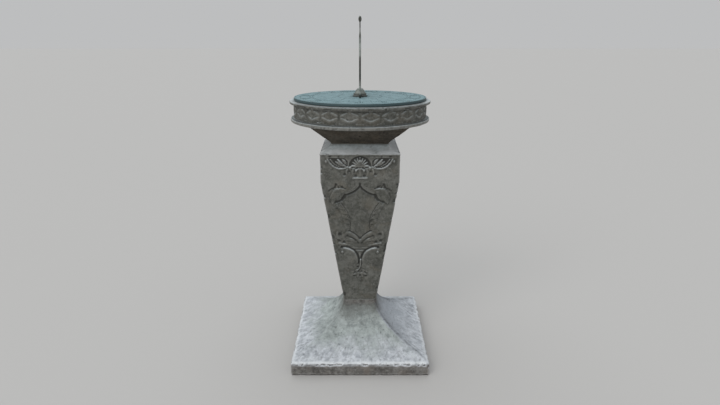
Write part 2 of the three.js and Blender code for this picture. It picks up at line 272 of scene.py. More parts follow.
def make_piece(name, vertices, faces, material, node, attributes=None, sharp=None):
    """A mesh object in place of a CAD node; vertices are in mm, attributes are one value a vertex."""
    mesh = bpy.data.meshes.new(name)
    mesh.from_pydata((np.asarray(vertices) * MM).tolist(), [], faces)
    mesh.validate()
    for label, values in (attributes or {}).items():
        layer = mesh.attributes.new(label, "FLOAT", "POINT")
        layer.data.foreach_set("value", np.asarray(values, np.float32).ravel())
    mesh.shade_smooth()
    if sharp:
        mesh.set_sharp_from_angle(angle=math.radians(sharp))
    mesh.materials.append(material)
    piece = bpy.data.objects.new(name, mesh)
    bpy.context.scene.collection.objects.link(piece)
    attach(piece, BODY)
    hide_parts(node)


def grid_faces(rows, columns):
    """Quads between the rings of a grid that closes on itself sideways."""
    row, column = np.divmod(np.arange((rows - 1) * columns), columns)
    here, after = row * columns + column, row * columns + (column + 1) % columns
    return np.stack([here, after, after + columns, here + columns], -1).tolist()


class Stack:
    """Square sections with worn corners: points and normals on a grid of rings by columns."""

    def __init__(self, profile, segments, arris):
        half = profile[:, 0][:, None]
        height = np.broadcast_to(profile[:, 1][:, None], (len(profile), 4 * segments))
        column = np.arange(4 * segments)
        side = column // segments
        t = -1 + 2 * (column % segments) / segments
        corner = (side + (t >= 0)) % 4
        self.along_face = t * half
        self.gap = gap = half - np.abs(self.along_face)
        self.radius = radius = arris(corner[None, :] + 0 * gap, height)
        turn = unit(1 - gap / radius) * math.pi / 4
        reach = half - radius + radius * np.sin(turn)
        along = np.sign(t) * np.where(gap < radius, reach, np.abs(self.along_face))
        out = np.where(gap < radius, half - radius + radius * np.cos(turn), half)
        rise, drop = profile_lean(profile)
        across, outward = np.sign(t) * np.sin(turn), np.cos(turn)
        cos, sin = np.cos(side * math.pi / 2), np.sin(side * math.pi / 2)
        self.points = np.stack([along * cos + out * sin, along * sin - out * cos, height], -1)
        leans = (across * cos + outward * sin) * rise, (across * sin - outward * cos) * rise
        self.normals = np.stack([*leans, np.broadcast_to(drop, height.shape)], -1)


class Turning:
    """A turned profile: points and normals on a grid of rings by columns."""

    def __init__(self, profile, columns):
        angle = np.arange(columns) * 2 * math.pi / columns - math.pi / 2
        self.angle = np.broadcast_to(angle, (len(profile), columns))
        radius, height = profile[:, 0][:, None], profile[:, 1][:, None]
        rise, drop = profile_lean(profile)
        cos, sin, level = np.cos(self.angle), np.sin(self.angle), 0 * self.angle
        self.points = np.stack([radius * cos, radius * sin, height + level], -1)
        self.normals = np.stack([cos * rise, sin * rise, drop + level], -1)


def profile_lean(profile):
    """How far a profile's outward normal leans sideways and upwards at each point."""
    slope = np.gradient(profile, axis=0)
    slope /= np.maximum(np.hypot(slope[:, 0], slope[:, 1]), 1e-9)[:, None]
    return slope[:, 1][:, None], -slope[:, 0][:, None]


def socket_rings(ring, mouth, floor):
    """Rings from a stone's outer ring to a round socket in its bed, and down the socket."""
    angle = np.arctan2(ring[:, 1], ring[:, 0])
    circle = np.stack([np.cos(angle), np.sin(angle)], -1) * SOCKET_RADIUS
    places = ((ring[:, :2] + circle) / 2, mouth), (circle, mouth), (circle, floor)
    return [np.column_stack([flat, np.full(len(ring), level)]) for flat, level in places]


def dirt_shade_wear_and_sheen(height):
    """How sunk and how proud each place is beside what surrounds it, 0 to 1: the sunk share is dirt with
    painted shade in the hollows, the proud share is rubbed wear with a painted highlight on the ridges.
    """
    near = blurred(height, 3) - height
    wide = blurred(height, 24) - height
    return unit(near / 0.7 + wide / 2.2), 0.55 * unit(-near / 0.8 - wide / 5.0)


def stone_piece(name, grid, height, node, material, low_socket=None, high_socket=None,
                more_dirt_and_shade=0.0, more_wear_and_sheen=0.0):
    """A carved stone with closed ends; a socket is (height of its mouth, height of its floor)."""
    rings = list(grid.points + grid.normals * height[..., None])
    below = socket_rings(rings[0], *low_socket)[::-1] if low_socket else []
    above = socket_rings(rings[-1], *high_socket) if high_socket else []
    rings = below + rings + above
    columns = height.shape[1]
    # The dirt attribute darkens hollows with dirt and painted shade; the wear attribute lightens ridges with
    # rubbed wear and a painted highlight.
    dirt, wear = dirt_shade_wear_and_sheen(height)
    attributes = {}
    for label, values in ("dirt", dirt + more_dirt_and_shade), ("wear", wear + more_wear_and_sheen):
        marks = np.zeros((len(rings), columns))
        marks[len(below) : len(below) + len(height)] = unit(values)
        attributes[label] = np.append(marks, (0, 0))
    ends = [[0, 0, rings[0][:, 2].mean()], [0, 0, rings[-1][:, 2].mean()]]
    faces = grid_faces(len(rings), columns)
    bottom, top = len(rings) * columns, len(rings) * columns + 1
    last = bottom - columns
    for i in range(columns):
        j = (i + 1) % columns
        faces += [(bottom, j, i), (top, last + i, last + j)]
    make_piece(name, np.vstack(rings + ends), faces, material, node, attributes)


# ---------------------------------------------------------------- materials

def shade(colour, share):
    return tuple(share * channel for channel in colour)


class Nodes:
    """Builds a material's node tree with short calls."""

    def __init__(self, name):
        self.material = bpy.data.materials.new(name)
        self.material.use_nodes = True
        self.tree = self.material.node_tree
        self.tree.nodes.clear()
        self.output = self.tree.nodes.new("ShaderNodeOutputMaterial")

    def fill(self, socket, value):
        if isinstance(value, bpy.types.NodeSocket):
            self.tree.links.new(value, socket)
        else:
            socket.default_value = value

    def add(self, kind, values=None, **settings):
        node = self.tree.nodes.new("ShaderNode" + kind)
        for key, value in settings.items():
            setattr(node, key, value)
        for key, value in (values or {}).items():
            self.fill(node.inputs[key], value)
        return node

    def place(self, shift=0.0):
        """Where a point is, in metres; a shift gives an unrelated sample of the noises."""
        spot = self.add("TexCoord").outputs["Object"]
        if shift:
            spot = self.add("VectorMath", {0: spot, 1: (shift,) * 3}, operation="ADD").outputs["Vector"]
        return spot

    def axis(self, vector, name):
        return self.add("SeparateXYZ", {"Vector": vector}).outputs[name]

    def lean(self, name):
        """How far the surface's normal leans along an axis."""
        return self.axis(self.add("NewGeometry").outputs["Normal"], name)

    def between(self, value, low, high):
        """0 at low, 1 at high, held there outside them."""
        return self.add("MapRange", {"Value": value, "From Min": low, "From Max": high}).outputs[0]

    def facing_up(self, low, high):
        return self.between(self.lean("Z"), low, high)

    def noise(self, scale, detail=4.0, rough=0.6, where=None, distortion=0.0):
        values = {"Scale": scale, "Detail": detail, "Roughness": rough, "Distortion": distortion}
        values["Vector"] = where or self.place()
        return self.add("TexNoise", values).outputs["Fac"]

    def ramp(self, factor, *stops):
        """A grey for each factor, through (position, grey) stops."""
        node = self.add("ValToRGB", {"Fac": factor})
        elements = node.color_ramp.elements
        while len(elements) < len(stops):
            elements.new(0.5)
        for element, (position, grey) in zip(elements, stops):
            element.position = position
            element.color = (grey, grey, grey, 1)
        return node.outputs["Color"]

    def mix(self, factor, first, second):
        node = self.add("Mix", data_type="RGBA")
        for index, value in ((0, factor), (6, first), (7, second)):
            self.fill(node.inputs[index], (*value, 1) if isinstance(value, tuple) else value)
        return node.outputs[2]

    def over(self, body, colour, factor, *stops):
        """A colour laid over another as strongly as a ramp of the factor says."""
        return self.mix(self.ramp(factor, *stops), body, colour)

    def math(self, operation, *terms):
        return self.add("Math", dict(enumerate(terms)), operation=operation).outputs[0]

    def times(self, first, second):
        return self.math("MULTIPLY", first, second)

    def attribute(self, name):
        return self.add("Attribute", attribute_name=name).outputs["Fac"]

    def bumps(self, *layers):
        """A normal raised by (height, strength, distance in m) layers."""
        normal = {}
        for height, strength, distance in layers:
            values = {"Height": height, "Strength": strength, "Distance": distance, **normal}
            normal = {"Normal": self.add("Bump", values).outputs["Normal"]}
        return normal["Normal"]

    def finish(self, colour, roughness, normal, metallic=0.0):
        values = {"Base Color": colour, "Roughness": roughness, "Normal": normal, "Metallic": metallic}
        self.tree.links.new(self.add("BsdfPrincipled", values).outputs[0], self.output.inputs["Surface"])
        return self.material


def stone_grain(n, dark, mid, pale):
    """Mottled stone colour, from hand-sized patches down to single grains."""
    mottle, fleck, speck = n.noise(95.0, 4.0, 0.62), n.noise(240.0, 3.0, 0.7), n.noise(700.0, 2.0)
    patch = n.noise(21.0, 3.0, 0.5, where=n.place(3.1))
    warm = n.noise(17.0, distortion=0.4)
    body = n.over(dark, mid, n.noise(30.0), (0.38, 0.0), (0.62, 1.0))
    body = n.over(body, dark, n.noise(8.0, 3.0, 0.55), (0.4, 0.0), (0.65, 0.4))
    body = n.over(body, pale, mottle, (0.5, 0.0), (0.7, 0.5))
    body = n.over(body, shade(dark, 0.6), mottle, (0.3, 0.75), (0.46, 0.0))
    body = n.over(body, pale, fleck, (0.54, 0.0), (0.72, 0.5))
    body = n.over(body, shade(dark, 0.7), speck, (0.58, 0.0), (0.75, 0.45))
    body = n.over(body, shade(dark, 0.62), patch, (0.54, 0.0), (0.68, 0.4))
    body = n.over(body, pale, patch, (0.3, 0.35), (0.44, 0.0))
    body = n.over(body, (mid[0] * 1.22, mid[1] * 1.05, mid[2] * 0.92), warm, (0.52, 0.0), (0.68, 0.4))
    return body, fleck, speck


def stone_finish(n, body, fleck, speck, dark, pale):
    """Dirt and painted shade in the hollows, rubbed edges with a painted highlight that grows where they face
    up, and a pitted skin over a stone's colour.
    """
    # Painted shade with dirt: the dirt attribute takes the colour most of the way to near-black.
    body = n.mix(n.times(n.attribute("dirt"), 0.88), body, shade(dark, 0.3))
    # Painted highlight: the rubbed colour turns near-white where the surface faces up.
    worn_with_sheen = n.mix(n.facing_up(0.2, 0.6), pale, (0.82, 0.85, 0.87))
    body = n.mix(n.times(n.attribute("wear"), 0.7), body, worn_with_sheen)
    pits = n.add("TexVoronoi", {"Vector": n.place(), "Scale": 170.0, "Randomness": 1.0})
    pits = n.ramp(pits.outputs["Distance"], (0.12, 0.0), (0.4, 1.0))
    skin = n.bumps((pits, 0.25, 0.0012), (fleck, 0.5, 0.0012), (speck, 0.35, 0.0004))
    return n.finish(body, n.math("MULTIPLY_ADD", fleck, 0.12, 0.8), skin)


def stone_material(name, mid, dark, pale, rubbed, painted_skylight, up_range, up_amount):
    """Weathered stone: mottled body, pale bloom with a painted bluish sky light on faces that look up, dirt
    and painted shade in the hollows, rubbed edges with a painted highlight.
    """
    n = Nodes(name)
    body, fleck, speck = stone_grain(n, dark, mid, pale)
    # Painted light: faces that look up take a pale bluish sky colour, patchy over the stone.
    bloom = n.ramp(n.noise(55.0, 5.0, 0.65), (0.34, 0.5), (0.6, 1.0))
    bloom = n.times(n.times(n.facing_up(*up_range), bloom), up_amount)
    return stone_finish(n, n.mix(bloom, body, painted_skylight), fleck, speck, dark, rubbed)


def plinth_material():
    """Stone that rain has washed pale low on its slopes, green above and olive by the shaft; the slopes also
    carry painted light from above, paler than the upright faces.
    """
    dark, mid, pale = (0.1, 0.095, 0.088), (0.19, 0.183, 0.172), (0.34, 0.33, 0.315)
    n = Nodes("weathered_plinth_stone")
    body, fleck, speck = stone_grain(n, dark, mid, pale)
    spot = n.add("SeparateXYZ", {"Vector": n.place()}).outputs
    ragged = n.math("MULTIPLY_ADD", n.noise(14.0, 5.0, 0.65), 0.1, -0.05)
    level = n.math("ADD", spot["Z"], ragged)
    green = n.over((0.275, 0.31, 0.305), (0.48, 0.532, 0.527), n.noise(38.0, 5.0, 0.7),
                   (0.35, 0.0), (0.62, 1.0))
    washed = n.over((0.375, 0.403, 0.442), (0.66, 0.694, 0.742), n.noise(42.0, 5.0, 0.7),
                    (0.36, 0.0), (0.58, 1.0))
    inner = n.mix(n.between(n.lean("X"), 0.1, 0.3), green, (0.42, 0.455, 0.5))
    bloom = n.mix(n.between(level, 0.094, 0.056), inner, washed)
    bloom = n.mix(n.times(n.between(level, 0.115, 0.17), 0.8), bloom, (0.1, 0.103, 0.09))
    fan = n.add("CombineXYZ", {
        "X": n.times(n.math("ARCTAN2", spot["Y"], spot["X"]), 9.0),
        "Y": n.times(spot["Z"], 12.0),
    })
    streaks = n.noise(2.4, 5.0, 0.7, where=fan.outputs[0])
    bloom = n.over(bloom, (0.14, 0.15, 0.16), streaks, (0.5, 0.0), (0.66, 0.3))
    bloom = n.over(bloom, (0.12, 0.12, 0.12), speck, (0.5, 0.0), (0.7, 0.35))
    # Painted light: faces that look up take the slope colours, much paler than the upright faces, standing
    # partly for the light from above.
    body = n.mix(n.facing_up(0.08, 0.3), body, bloom)
    return stone_finish(n, body, fleck, speck, dark, (0.72, 0.72, 0.73))


def mortar_material():
    n = Nodes("lime_mortar")
    grain = n.noise(420.0, 4.0, 0.7)
    colour = n.over((0.1, 0.1, 0.088), (0.2, 0.2, 0.18), n.noise(40.0), (0.35, 0.0), (0.7, 1.0))
    colour = n.over(colour, (0.3, 0.29, 0.26), grain, (0.5, 0.0), (0.75, 0.7))
    return n.finish(colour, n.math("MULTIPLY_ADD", grain, 0.1, 0.85), n.bumps((grain, 0.6, 0.001)))


def verdigris_material():
    """Old bronze under a pale blue-green bloom, dark in the cuts and rubbed in places."""
    n = Nodes("verdigris_bronze")
    blotch, grain = n.noise(60.0, 6.0, 0.7), n.noise(700.0, 3.0)
    colour = n.over((0.13, 0.225, 0.25), (0.235, 0.365, 0.4), blotch, (0.38, 0.0), (0.64, 1.0))
    colour = n.over(colour, (0.175, 0.295, 0.325), n.noise(11.0), (0.4, 0.0), (0.7, 0.7))
    colour = n.over(colour, (0.38, 0.5, 0.52), grain, (0.5, 0.0), (0.8, 0.5))
    side = n.math("SUBTRACT", 1.0, n.facing_up(0.5, 0.9))
    colour = n.mix(n.times(side, 0.92), colour, (0.03, 0.052, 0.058))
    floor = PLATE_TOP * MM
    sunk = n.between(n.axis(n.place(), "Z"), floor - 0.0001, floor - 0.0004)
    colour = n.mix(n.times(sunk, 0.42), colour, (0.07, 0.12, 0.13))
    skin = n.bumps((blotch, 0.35, 0.0006), (grain, 0.3, 0.0003))
    return n.finish(colour, n.math("MULTIPLY_ADD", blotch, 0.25, 0.5), skin, 0.15)


def bronze_material():
    """Brown bronze with grey-green bloom where the weather reaches it, painted highlights in bands up the
    gnomon and painted shade at its foot.
    """
    n = Nodes("weathered_bronze")
    blotch, grain = n.noise(90.0, 5.0, 0.65), n.noise(800.0, 3.0)
    colour = n.over((0.04, 0.037, 0.03), (0.115, 0.115, 0.098), blotch, (0.35, 0.0), (0.65, 1.0))
    bloom = n.times(n.facing_up(0.0, 0.8), n.ramp(blotch, (0.3, 0.3), (0.6, 1.0)))
    colour = n.mix(n.times(bloom, 0.75), colour, (0.32, 0.36, 0.34))
    colour = n.over(colour, (0.2, 0.21, 0.18), grain, (0.55, 0.0), (0.8, 0.4))
    level = n.between(n.axis(n.place(), "Z"), PLATE_TOP * MM, TIP_TOP * MM)
    # Painted highlights: pale bands at set heights where the gnomon's edge and the tops of its bosses face
    # the light.
    pale = n.ramp(level, (0.034, 0.1), (0.06, 0.95), (0.12, 0.7), (0.2, 0.1), (0.5, 0.12), (0.53, 0.85),
                  (0.72, 0.9), (0.76, 0.1))
    edge_on = n.math("SUBTRACT", 1.0, n.times(n.math("ABSOLUTE", n.lean("X")), 0.8))
    pale = n.times(n.times(pale, edge_on), n.ramp(blotch, (0.3, 0.5), (0.55, 1.0)))
    colour = n.mix(pale, colour, (0.36, 0.4, 0.38))
    # Painted shade: darker at the gnomon's foot, just above the dial.
    colour = n.over(colour, (0.055, 0.06, 0.055), level, (0.026, 0.8), (0.052, 0.0))
    skin = n.bumps((grain, 0.35, 0.0004), (blotch, 0.3, 0.0006))
    return n.finish(colour, n.math("MULTIPLY_ADD", blotch, 0.3, 0.45), skin, 0.35)


def lead_material():
    n = Nodes("dull_lead")
    blotch = n.noise(150.0, 5.0, 0.65)
    colour = n.over((0.1, 0.11, 0.12), (0.22, 0.24, 0.25), blotch, (0.3, 0.0), (0.7, 1.0))
    rough = n.math("MULTIPLY_ADD", blotch, 0.3, 0.5)
    return n.finish(colour, rough, n.bumps((blotch, 0.4, 0.0006)), 0.5)


STONE = stone_material(
    "weathered_stone", mid=(0.148, 0.151, 0.134), dark=(0.088, 0.09, 0.079), pale=(0.25, 0.25, 0.235),
    rubbed=(0.34, 0.34, 0.325), painted_skylight=(0.55, 0.615, 0.635), up_range=(0.08, 0.5), up_amount=1.0,
)
CAPITAL_STONE = stone_material(
    "stained_stone", mid=(0.072, 0.06, 0.043), dark=(0.038, 0.032, 0.024), pale=(0.12, 0.105, 0.085),
    rubbed=(0.16, 0.145, 0.12), painted_skylight=(0.3, 0.32, 0.33), up_range=(0.15, 0.9), up_amount=0.8,
)
PLINTH_STONE = plinth_material()
MORTAR = mortar_material()
VERDIGRIS = verdigris_material()
BRONZE = bronze_material()
LEAD = lead_material()


# ---------------------------------------------------------------- weathering of stone

def weathering(points, seed, swell=0.5, pit=1.0):
    """Heights of an old stone surface: slow swells, a rough skin and scattered pits."""
    skin = swell * layered_noise(points, 70, 3, seed) + 0.22 * layered_noise(points, 9, 2, seed + 10)
    return skin - pit * unit(gradient_noise(points, 11, seed + 20) - 0.42) * 2.5


def patchy(points, size, seed, middle, swing, low=0.0, high=1.0):
    """A strength that varies from place to place."""
    return np.clip(middle + swing * gradient_noise(points, size, seed), low, high)


def chips(points, seed, size=22.0, least=0.12):
    """0 on a sound edge, rising to about 1 in the middle of a chip."""
    return unit((layered_noise(points, size, 3, seed) - least) * 2.2)


def arris_wear(seed, radius, chip, size=24.0):
    """A corner radius that changes along each vertical arris."""

    def wear(corner, height):
        spots = np.stack([corner * 517.3, height, 0 * height + 31.7], -1)
        return radius * (1 + 0.35 * gradient_noise(spots, 40, seed)) + chip * chips(spots, seed + 1, size)

    return wear


def arris_marks(grid):
    """Pale rubbed arrises, and dirt where they are chipped."""
    chipped = smooth(grid.radius, 3.5, 9.0)
    return 0.55 * bell(grid.gap, 3.2) * (1 - chipped), 0.65 * chipped * (grid.gap < 0.8 * grid.radius)


def edge_loss(profile, edge, reach, loss, points, seed, size=22.0):
    """Stone lost along a horizontal arris at one profile point: a worn round, deeper at chips."""
    before = lengths(profile)
    at = before[np.argmin(np.hypot(*(profile - edge).T))]
    return bell(before - at, reach)[:, None] * (loss[0] + loss[1] * chips(points, seed, size))


# ---------------------------------------------------------------- plinth

def make_plinth():
    side = resampled([(BASE_HALF, 0), (BASE_HALF, SLAB_TOP)], 2.4)
    sweep = bezier((BASE_HALF, SLAB_TOP), (130, 85), (FOOT_HALF + 1, 118), (FOOT_HALF, BASE_TOP), steps=60)
    profile = joined(side, resampled(sweep, 2.4))
    chipped = arris_wear(3, 2.5, 6.0)

    def hip(corner, level):
        return chipped(corner, level) + 7 * smooth(level, SLAB_TOP + 2, SLAB_TOP + 25)

    grid = Stack(profile, 150, hip)
    points = grid.points
    x, y, level = np.moveaxis(points, -1, 0)
    sides = smooth(np.abs(x) - np.abs(y), -12, 12)
    height = weathering(points, 40, 0.9, 0.45)
    top_loss = edge_loss(profile, (BASE_HALF, SLAB_TOP), 4.5, (1.4, 5.5), points, 50, 17)
    height -= top_loss * (1 - 0.5 * sides)
    height -= edge_loss(profile, (BASE_HALF, 0), 3.5, (0.8, 3.0), points, 60, 26)
    bed = profile[:, 1] < 1
    height[bed] = np.minimum(height[bed], 0)
    height[-1] = 0

    edge, notch = arris_marks(grid)
    on_slope = smooth(level, SLAB_TOP, SLAB_TOP + 4)
    high_hip = smooth(level, 92, 130) * (1 - smooth(level, 165, 180)) * (x > 0)
    edge = edge * np.where(on_slope > 0, 0.15 + 0.9 * high_hip, 1.0)
    rim = smooth(level, SLAB_TOP - 2.0, SLAB_TOP - 0.2) * (1 - smooth(level, SLAB_TOP + 2, SLAB_TOP + 6))
    rim = rim * patchy(points, 9, 17, 0.9, 0.8) * (1 - 0.3 * sides)
    under_rim = bell(level - SLAB_TOP + 5.5, 3.0) * chips(points, 51, 17, 0.0)
    # Painted shade on the side slopes beside the hips, heavier on the right side, away from the key light.
    hip_shade = 0.5 * bell(grid.gap - 13, 7.0) + 0.75 * np.exp(-grid.gap / 30) * smooth(level, 50, 90)
    hip_shade *= patchy(points, 30, 23, 0.8, 0.9, low=0.1) * (np.abs(x) > np.abs(y)) * on_slope
    hip_shade *= np.where(x > 0, 0.55, 0.22) * (1 - smooth(level, 150, 180))
    foot = smooth(level, BASE_TOP - 34, BASE_TOP - 4) * smooth(16 - grid.gap, 0, 14)
    stone_piece(
        "stone_plinth", grid, height, "base_plinth", PLINTH_STONE,
        more_dirt_and_shade=0.6 * notch * (1 - on_slope) + 0.4 * under_rim + 0.5 * foot + hip_shade,
        more_wear_and_sheen=edge + 0.9 * rim, high_socket=(BASE_TOP, node_box("base_dowel_lead")[0][2]),
    )


# ---------------------------------------------------------------- shaft and its carving

# Lines of the carving on the right half of a face: (distance from its middle, height)
ARCH = bezier((-2, 632), (6, 612), (24, 599), (48, 593), steps=30)
CURL = bezier((50, 589), (50, 582), (57, 572), (68, 569), steps=8)
PLUME = bezier((60, 562), (36, 534), (23, 494), (34, 462), steps=24)
SCROLL = bezier((60, 399), (48, 402), (31, 396), (20, 386), (8, 372), (4, 354), (5, 338), steps=36)
DEEPEST = 5.0


def ray(degrees):
    return np.array([math.cos(math.radians(degrees)), math.sin(math.radians(degrees))])


def carve_ground(r):
    """The broad swellings that the finer carving stands on."""
    r.swell(ARCH, 2.8, 16)
    r.swell(PLUME[::-1], 1.9, 20)
    r.swell(SCROLL, 2.7, 22)
    r.swell([(72, 412), (40, 405), (0, 400)], 1.6, 14)


def carve_frieze(r):
    """Shell, swags and pendant on the upright block."""
    swag = bezier((100, 708), (92, 686), (70, 672), (46, 680), steps=24)
    r.sink(np.vstack([swag + (-1.0, 2.0), [(38, 686), (38, 702), (48, 711), (90, 712)]]), 4.6, 1.2)
    r.ridge(swag, 2.2, 2.6, 0.8)
    r.ridge(bezier((92, 708), (84, 696), (76, 688), (62, 684), steps=18), 1.5, -1.4)
    r.leaf(bezier((43, 684), (54, 692), (66, 690), (76, 701)), 3.4, 1.2, rib=0.5)
    r.leaf(bezier((54, 694), (62, 697), (66, 702), (69, 710)), 3.8, 1.8, rib=0.6)
    r.leaf([(42, 692), (47, 699), (57, 710)], 3.6, 0.4, rib=0.5)
    r.boss((105, 701), 3.4, 2.4)
    r.holes((93, 716, 5.0, 2.4), (66, 715, 4.0, 1.6))
    halo = [(34 * math.cos(a), 686 + 31 * math.sin(a)) for a in np.linspace(0, math.pi / 2, 12)]
    r.sink([(-10, 681), (34, 681)] + halo + [(-10, 718)], 3.8, 1.2)
    r.groove(halo, 2.8, 2.2)
    hub = np.array([0, 683])
    for degrees, length in ((90, 32), (72, 31), (53, 30), (34, 29), (14, 27)):
        r.leaf([hub + ray(degrees) * reach for reach in (2, length * 0.6, length)], 2.3, 1.8, rib=0.0)
    r.ridge(bezier((13, 683), (19, 687), (26, 688), (31, 682)), 1.9, 2.0)
    r.boss((30, 680.5), 3.8, 3.4)
    r.groove([(-10, 679.5), (12, 679.5)], 2.0, 3.0)
    r.ridge(bezier((3, 678), (7, 677), (11, 675), (12, 668)), 1.6, 1.6, 0.8)
    r.boss((12.5, 672), 3.6, 3.6)
    r.ridge([(0, 675), (0, 655)], 2.4, 1.2)
    r.leaf([(20, 676), (24, 668), (22, 658)], 3.4, 1.4)
    r.ridge([(40, 675), (43, 669), (41, 662)], 1.9, 2.4, 0.8)
    r.ridge([(0, 648), (22, 648)], 2.0, 2.8)
    r.holes((13, 655.5, 3.8, 4.2), (48, 660.5, 4.4, 2.8), (33, 670, 3.0, 1.8))


def carve_cartouche(r):
    """Pointed arch with shoulder leaves over a flat field between two soft plumes."""
    r.ridge(shifted(ARCH, 9.0)[4:24], 1.5, 3.2, 0.7)
    r.leaf(bezier((54, 603), (70, 607), (84, 592), (87, 562)), 14.0, 2.0, rib=0.2, crisp=1.1)
    r.leaf(bezier((46, 609), (64, 618), (86, 610), (95, 578)), 5.5, 1.8, lobes=4, rib=0.0, crisp=0.9)
    r.boss((82, 598), 3.4, 1.8)
    curl = [(98, 606), (90, 613), (79, 617), (76, 627), (70, 622), (62, 624), (59, 616), (46, 614)]
    r.groove(curl, 2.6, 1.5)
    r.holes((56, 620, 3.8, 2.4), (67, 617, 3.6, 2.4), (75, 627, 4.4, 3.0), (78, 618, 3.4, 2.2),
            (85, 612, 2.6, 1.8))
    r.groove(shifted(ARCH, -2.0), 3.9, 4.4)
    r.groove(bezier((47, 592), (49, 583), (57, 571), (76, 566)), 3.0, 4.0)
    r.holes((51, 582, 6.0, 3.6), (57, 573, 4.4, 2.6), (0, 629, 3.4, 2.2))
    r.ridge(shifted(PLUME, 2.2)[:16], 1.7, 2.5, 0.4, crisp=0.8)
    r.ridge(shifted(PLUME, 6.5)[:13], 1.7, 2.2, 0.4, crisp=0.8)
    for k in range(5):
        tips = PLUME[21 - 4 * k] + np.array([(5, 0), (13, 3), (21 + 2 * k, 14)])
        r.leaf(tips, 8.5, 1.1 + 0.15 * k, rib=0.0, crisp=1.2)
    r.groove(shifted(PLUME, -1.4), 2.4, 1.0)


def carve_cross(r):
    """Fleshy leaves that cross under the field, the ledge and the paired scrolls."""
    rib = bezier((0, 424), (10, 437), (24, 451), (38, 455), (52, 454), (57, 443), (50, 431), steps=30)
    r.ridge(rib, 8.0, 1.5, 0.7, crisp=1.2)
    r.ridge(rib[3:20] + (0, 2.5), 1.6, 1.0, 0.4)
    r.leaf(bezier((8, 420), (24, 428), (40, 436), (50, 424)), 7.5, 1.7, lobes=3, crisp=0.9)
    r.groove(bezier((6, 418), (16, 429), (28, 440), (42, 444)), 3.0, 1.5)
    r.groove(bezier((0, 433), (10, 446), (22, 459), (36, 463)), 3.0, 1.5)
    r.holes((0, 434, 3.6, 2.4))
    r.leaf([(62, 428), (76, 440), (74, 464)], 6.5, 1.8, lobes=3, crisp=0.9)
    r.holes((66, 450, 5.6, 4.4), (68, 427, 4.8, 3.4), (53, 421, 4.4, 3.0))
    r.ridge(bezier((70, 416), (54, 413), (40, 410), (28, 408)), 2.6, 2.0, 0.5)
    r.groove(bezier((72, 408), (50, 405), (36, 403), (24, 402)), 1.8, 1.6)
    r.boss((59, 382), 5.0, 3.6)
    r.ridge([(-1, 386.5), (15, 386.5)], 1.8, 1.4)
    r.leaf([(0, 383), (0, 374), (0, 364)], 4.5, 2.4)
    r.groove([(-1, 392), (22, 392)], 1.7, 2.6)
    r.groove(shifted(SCROLL, -2.2), 3.8, 6.5)
    r.holes((60, 397, 3.8, 3.0))


def carve_drop(r):
    """Flower and husks that hang below the scrolls."""
    for degrees, length in ((2, 27), (-30, 26), (-66, 25), (26, 18)):
        r.leaf([ray(degrees) * reach + (0, 304) for reach in (6, length * 0.6, length)], 4.4, 2.0)
    r.holes(*((u, v, 3.6, 2.8) for u, v in ((7, 306), (20, 287), (1, 290), (17, 303))))
    for level, size in ((271, 3.6), (260, 3.0), (250, 2.4)):
        r.leaf([(0, level + 1.5 * size), (0, level), (0, level - 1.7 * size)], size, 1.3, rib=0.4)


def carve_stalk(r):
    """The one stroke that isn't mirrored: the stalk that curls aside above the flower."""
    r.holes((-8, 324, 3.6, 3.4))
    r.ridge(bezier((2, 352), (3, 330), (0, 316), (-10, 309)), 2.4, 3.6, 0.7)


def carved_face(grid):
    """Heights of the carving over the whole shaft, and where it leaves the face untouched.
    Its hollows level off at DEEPEST."""
    across, level = np.abs(grid.along_face), grid.points[..., 2]
    relief = Relief(across, level)
    for carve in (carve_ground, carve_frieze, carve_cartouche, carve_cross, carve_drop):
        carve(relief)
    relief.u = grid.along_face
    carve_stalk(relief)
    sunk = DEEPEST * (np.exp(relief.height / DEEPEST) - 1)
    return np.where(relief.height < 0, sunk, relief.height), relief.height == 0


def shaft_stains_and_shading(grid):
    """Damp and dry patches of the shaft, a painted shadow under the arch and painted light on the shoulder:
    what they add to its dirt and to its wear.
    """
    points = grid.points
    x, _, level = np.moveaxis(points, -1, 0)
    across = np.abs(grid.along_face)
    on_face = smooth(grid.gap, 2.0, 9.0) * (level < BLOCK_TOP - 0.5)
    damp_and_shadow = 0.3 * smooth(level, SHAFT_TOP - 9, SHAFT_TOP - 1)
    damp_and_shadow += 0.07 * (1 - smooth(level, 560, 660)) * (level < BLOCK_TOP)
    damp_and_shadow += 0.06 * smooth(46 - across, 0, 14) * smooth(level, 455, 480) * (1 - smooth(level, 585, 612))
    # Painted shadow: a soft dark band under the arch and its curl, widest at the shoulders.
    away, along, _ = path_distance(np.vstack([shifted(ARCH, -5.5)[2:], CURL]), across, level)
    damp_and_shadow += (0.34 + 0.34 * smooth(along, 0.25, 0.7)) * bell(away, 7.5) * on_face
    damp_and_shadow += 0.5 * (1 - smooth(level, SHAFT_BOTTOM + 2, SHAFT_BOTTOM + 40)) * smooth(14 - grid.gap, 0, 12)
    dry = 0.13 * bell(level - 648, 20) + 0.08 * bell(level - 360, 26)
    dry = dry * patchy(points, 45, 29, 0.8, 1.2, high=2) - 0.12 * (level < BLOCK_BOTTOM)
    # A patchy pale band along the block's top edge and the foot of the shoulder, and a paler right face of
    # the shoulder: rubbed stone, and painted light that lifts the shade under the drum.
    shoulder = smooth(level, BLOCK_TOP - 2.5, BLOCK_TOP) * (1 - smooth(level, BLOCK_TOP + 3, SHAFT_TOP - 4))
    shoulder = shoulder * patchy(points, 30, 7, 0.9, 0.9, low=0.2)
    shoulder += smooth(x, 84, 104) * (level > BLOCK_TOP + 1)
    return damp_and_shadow, dry * on_face + shoulder


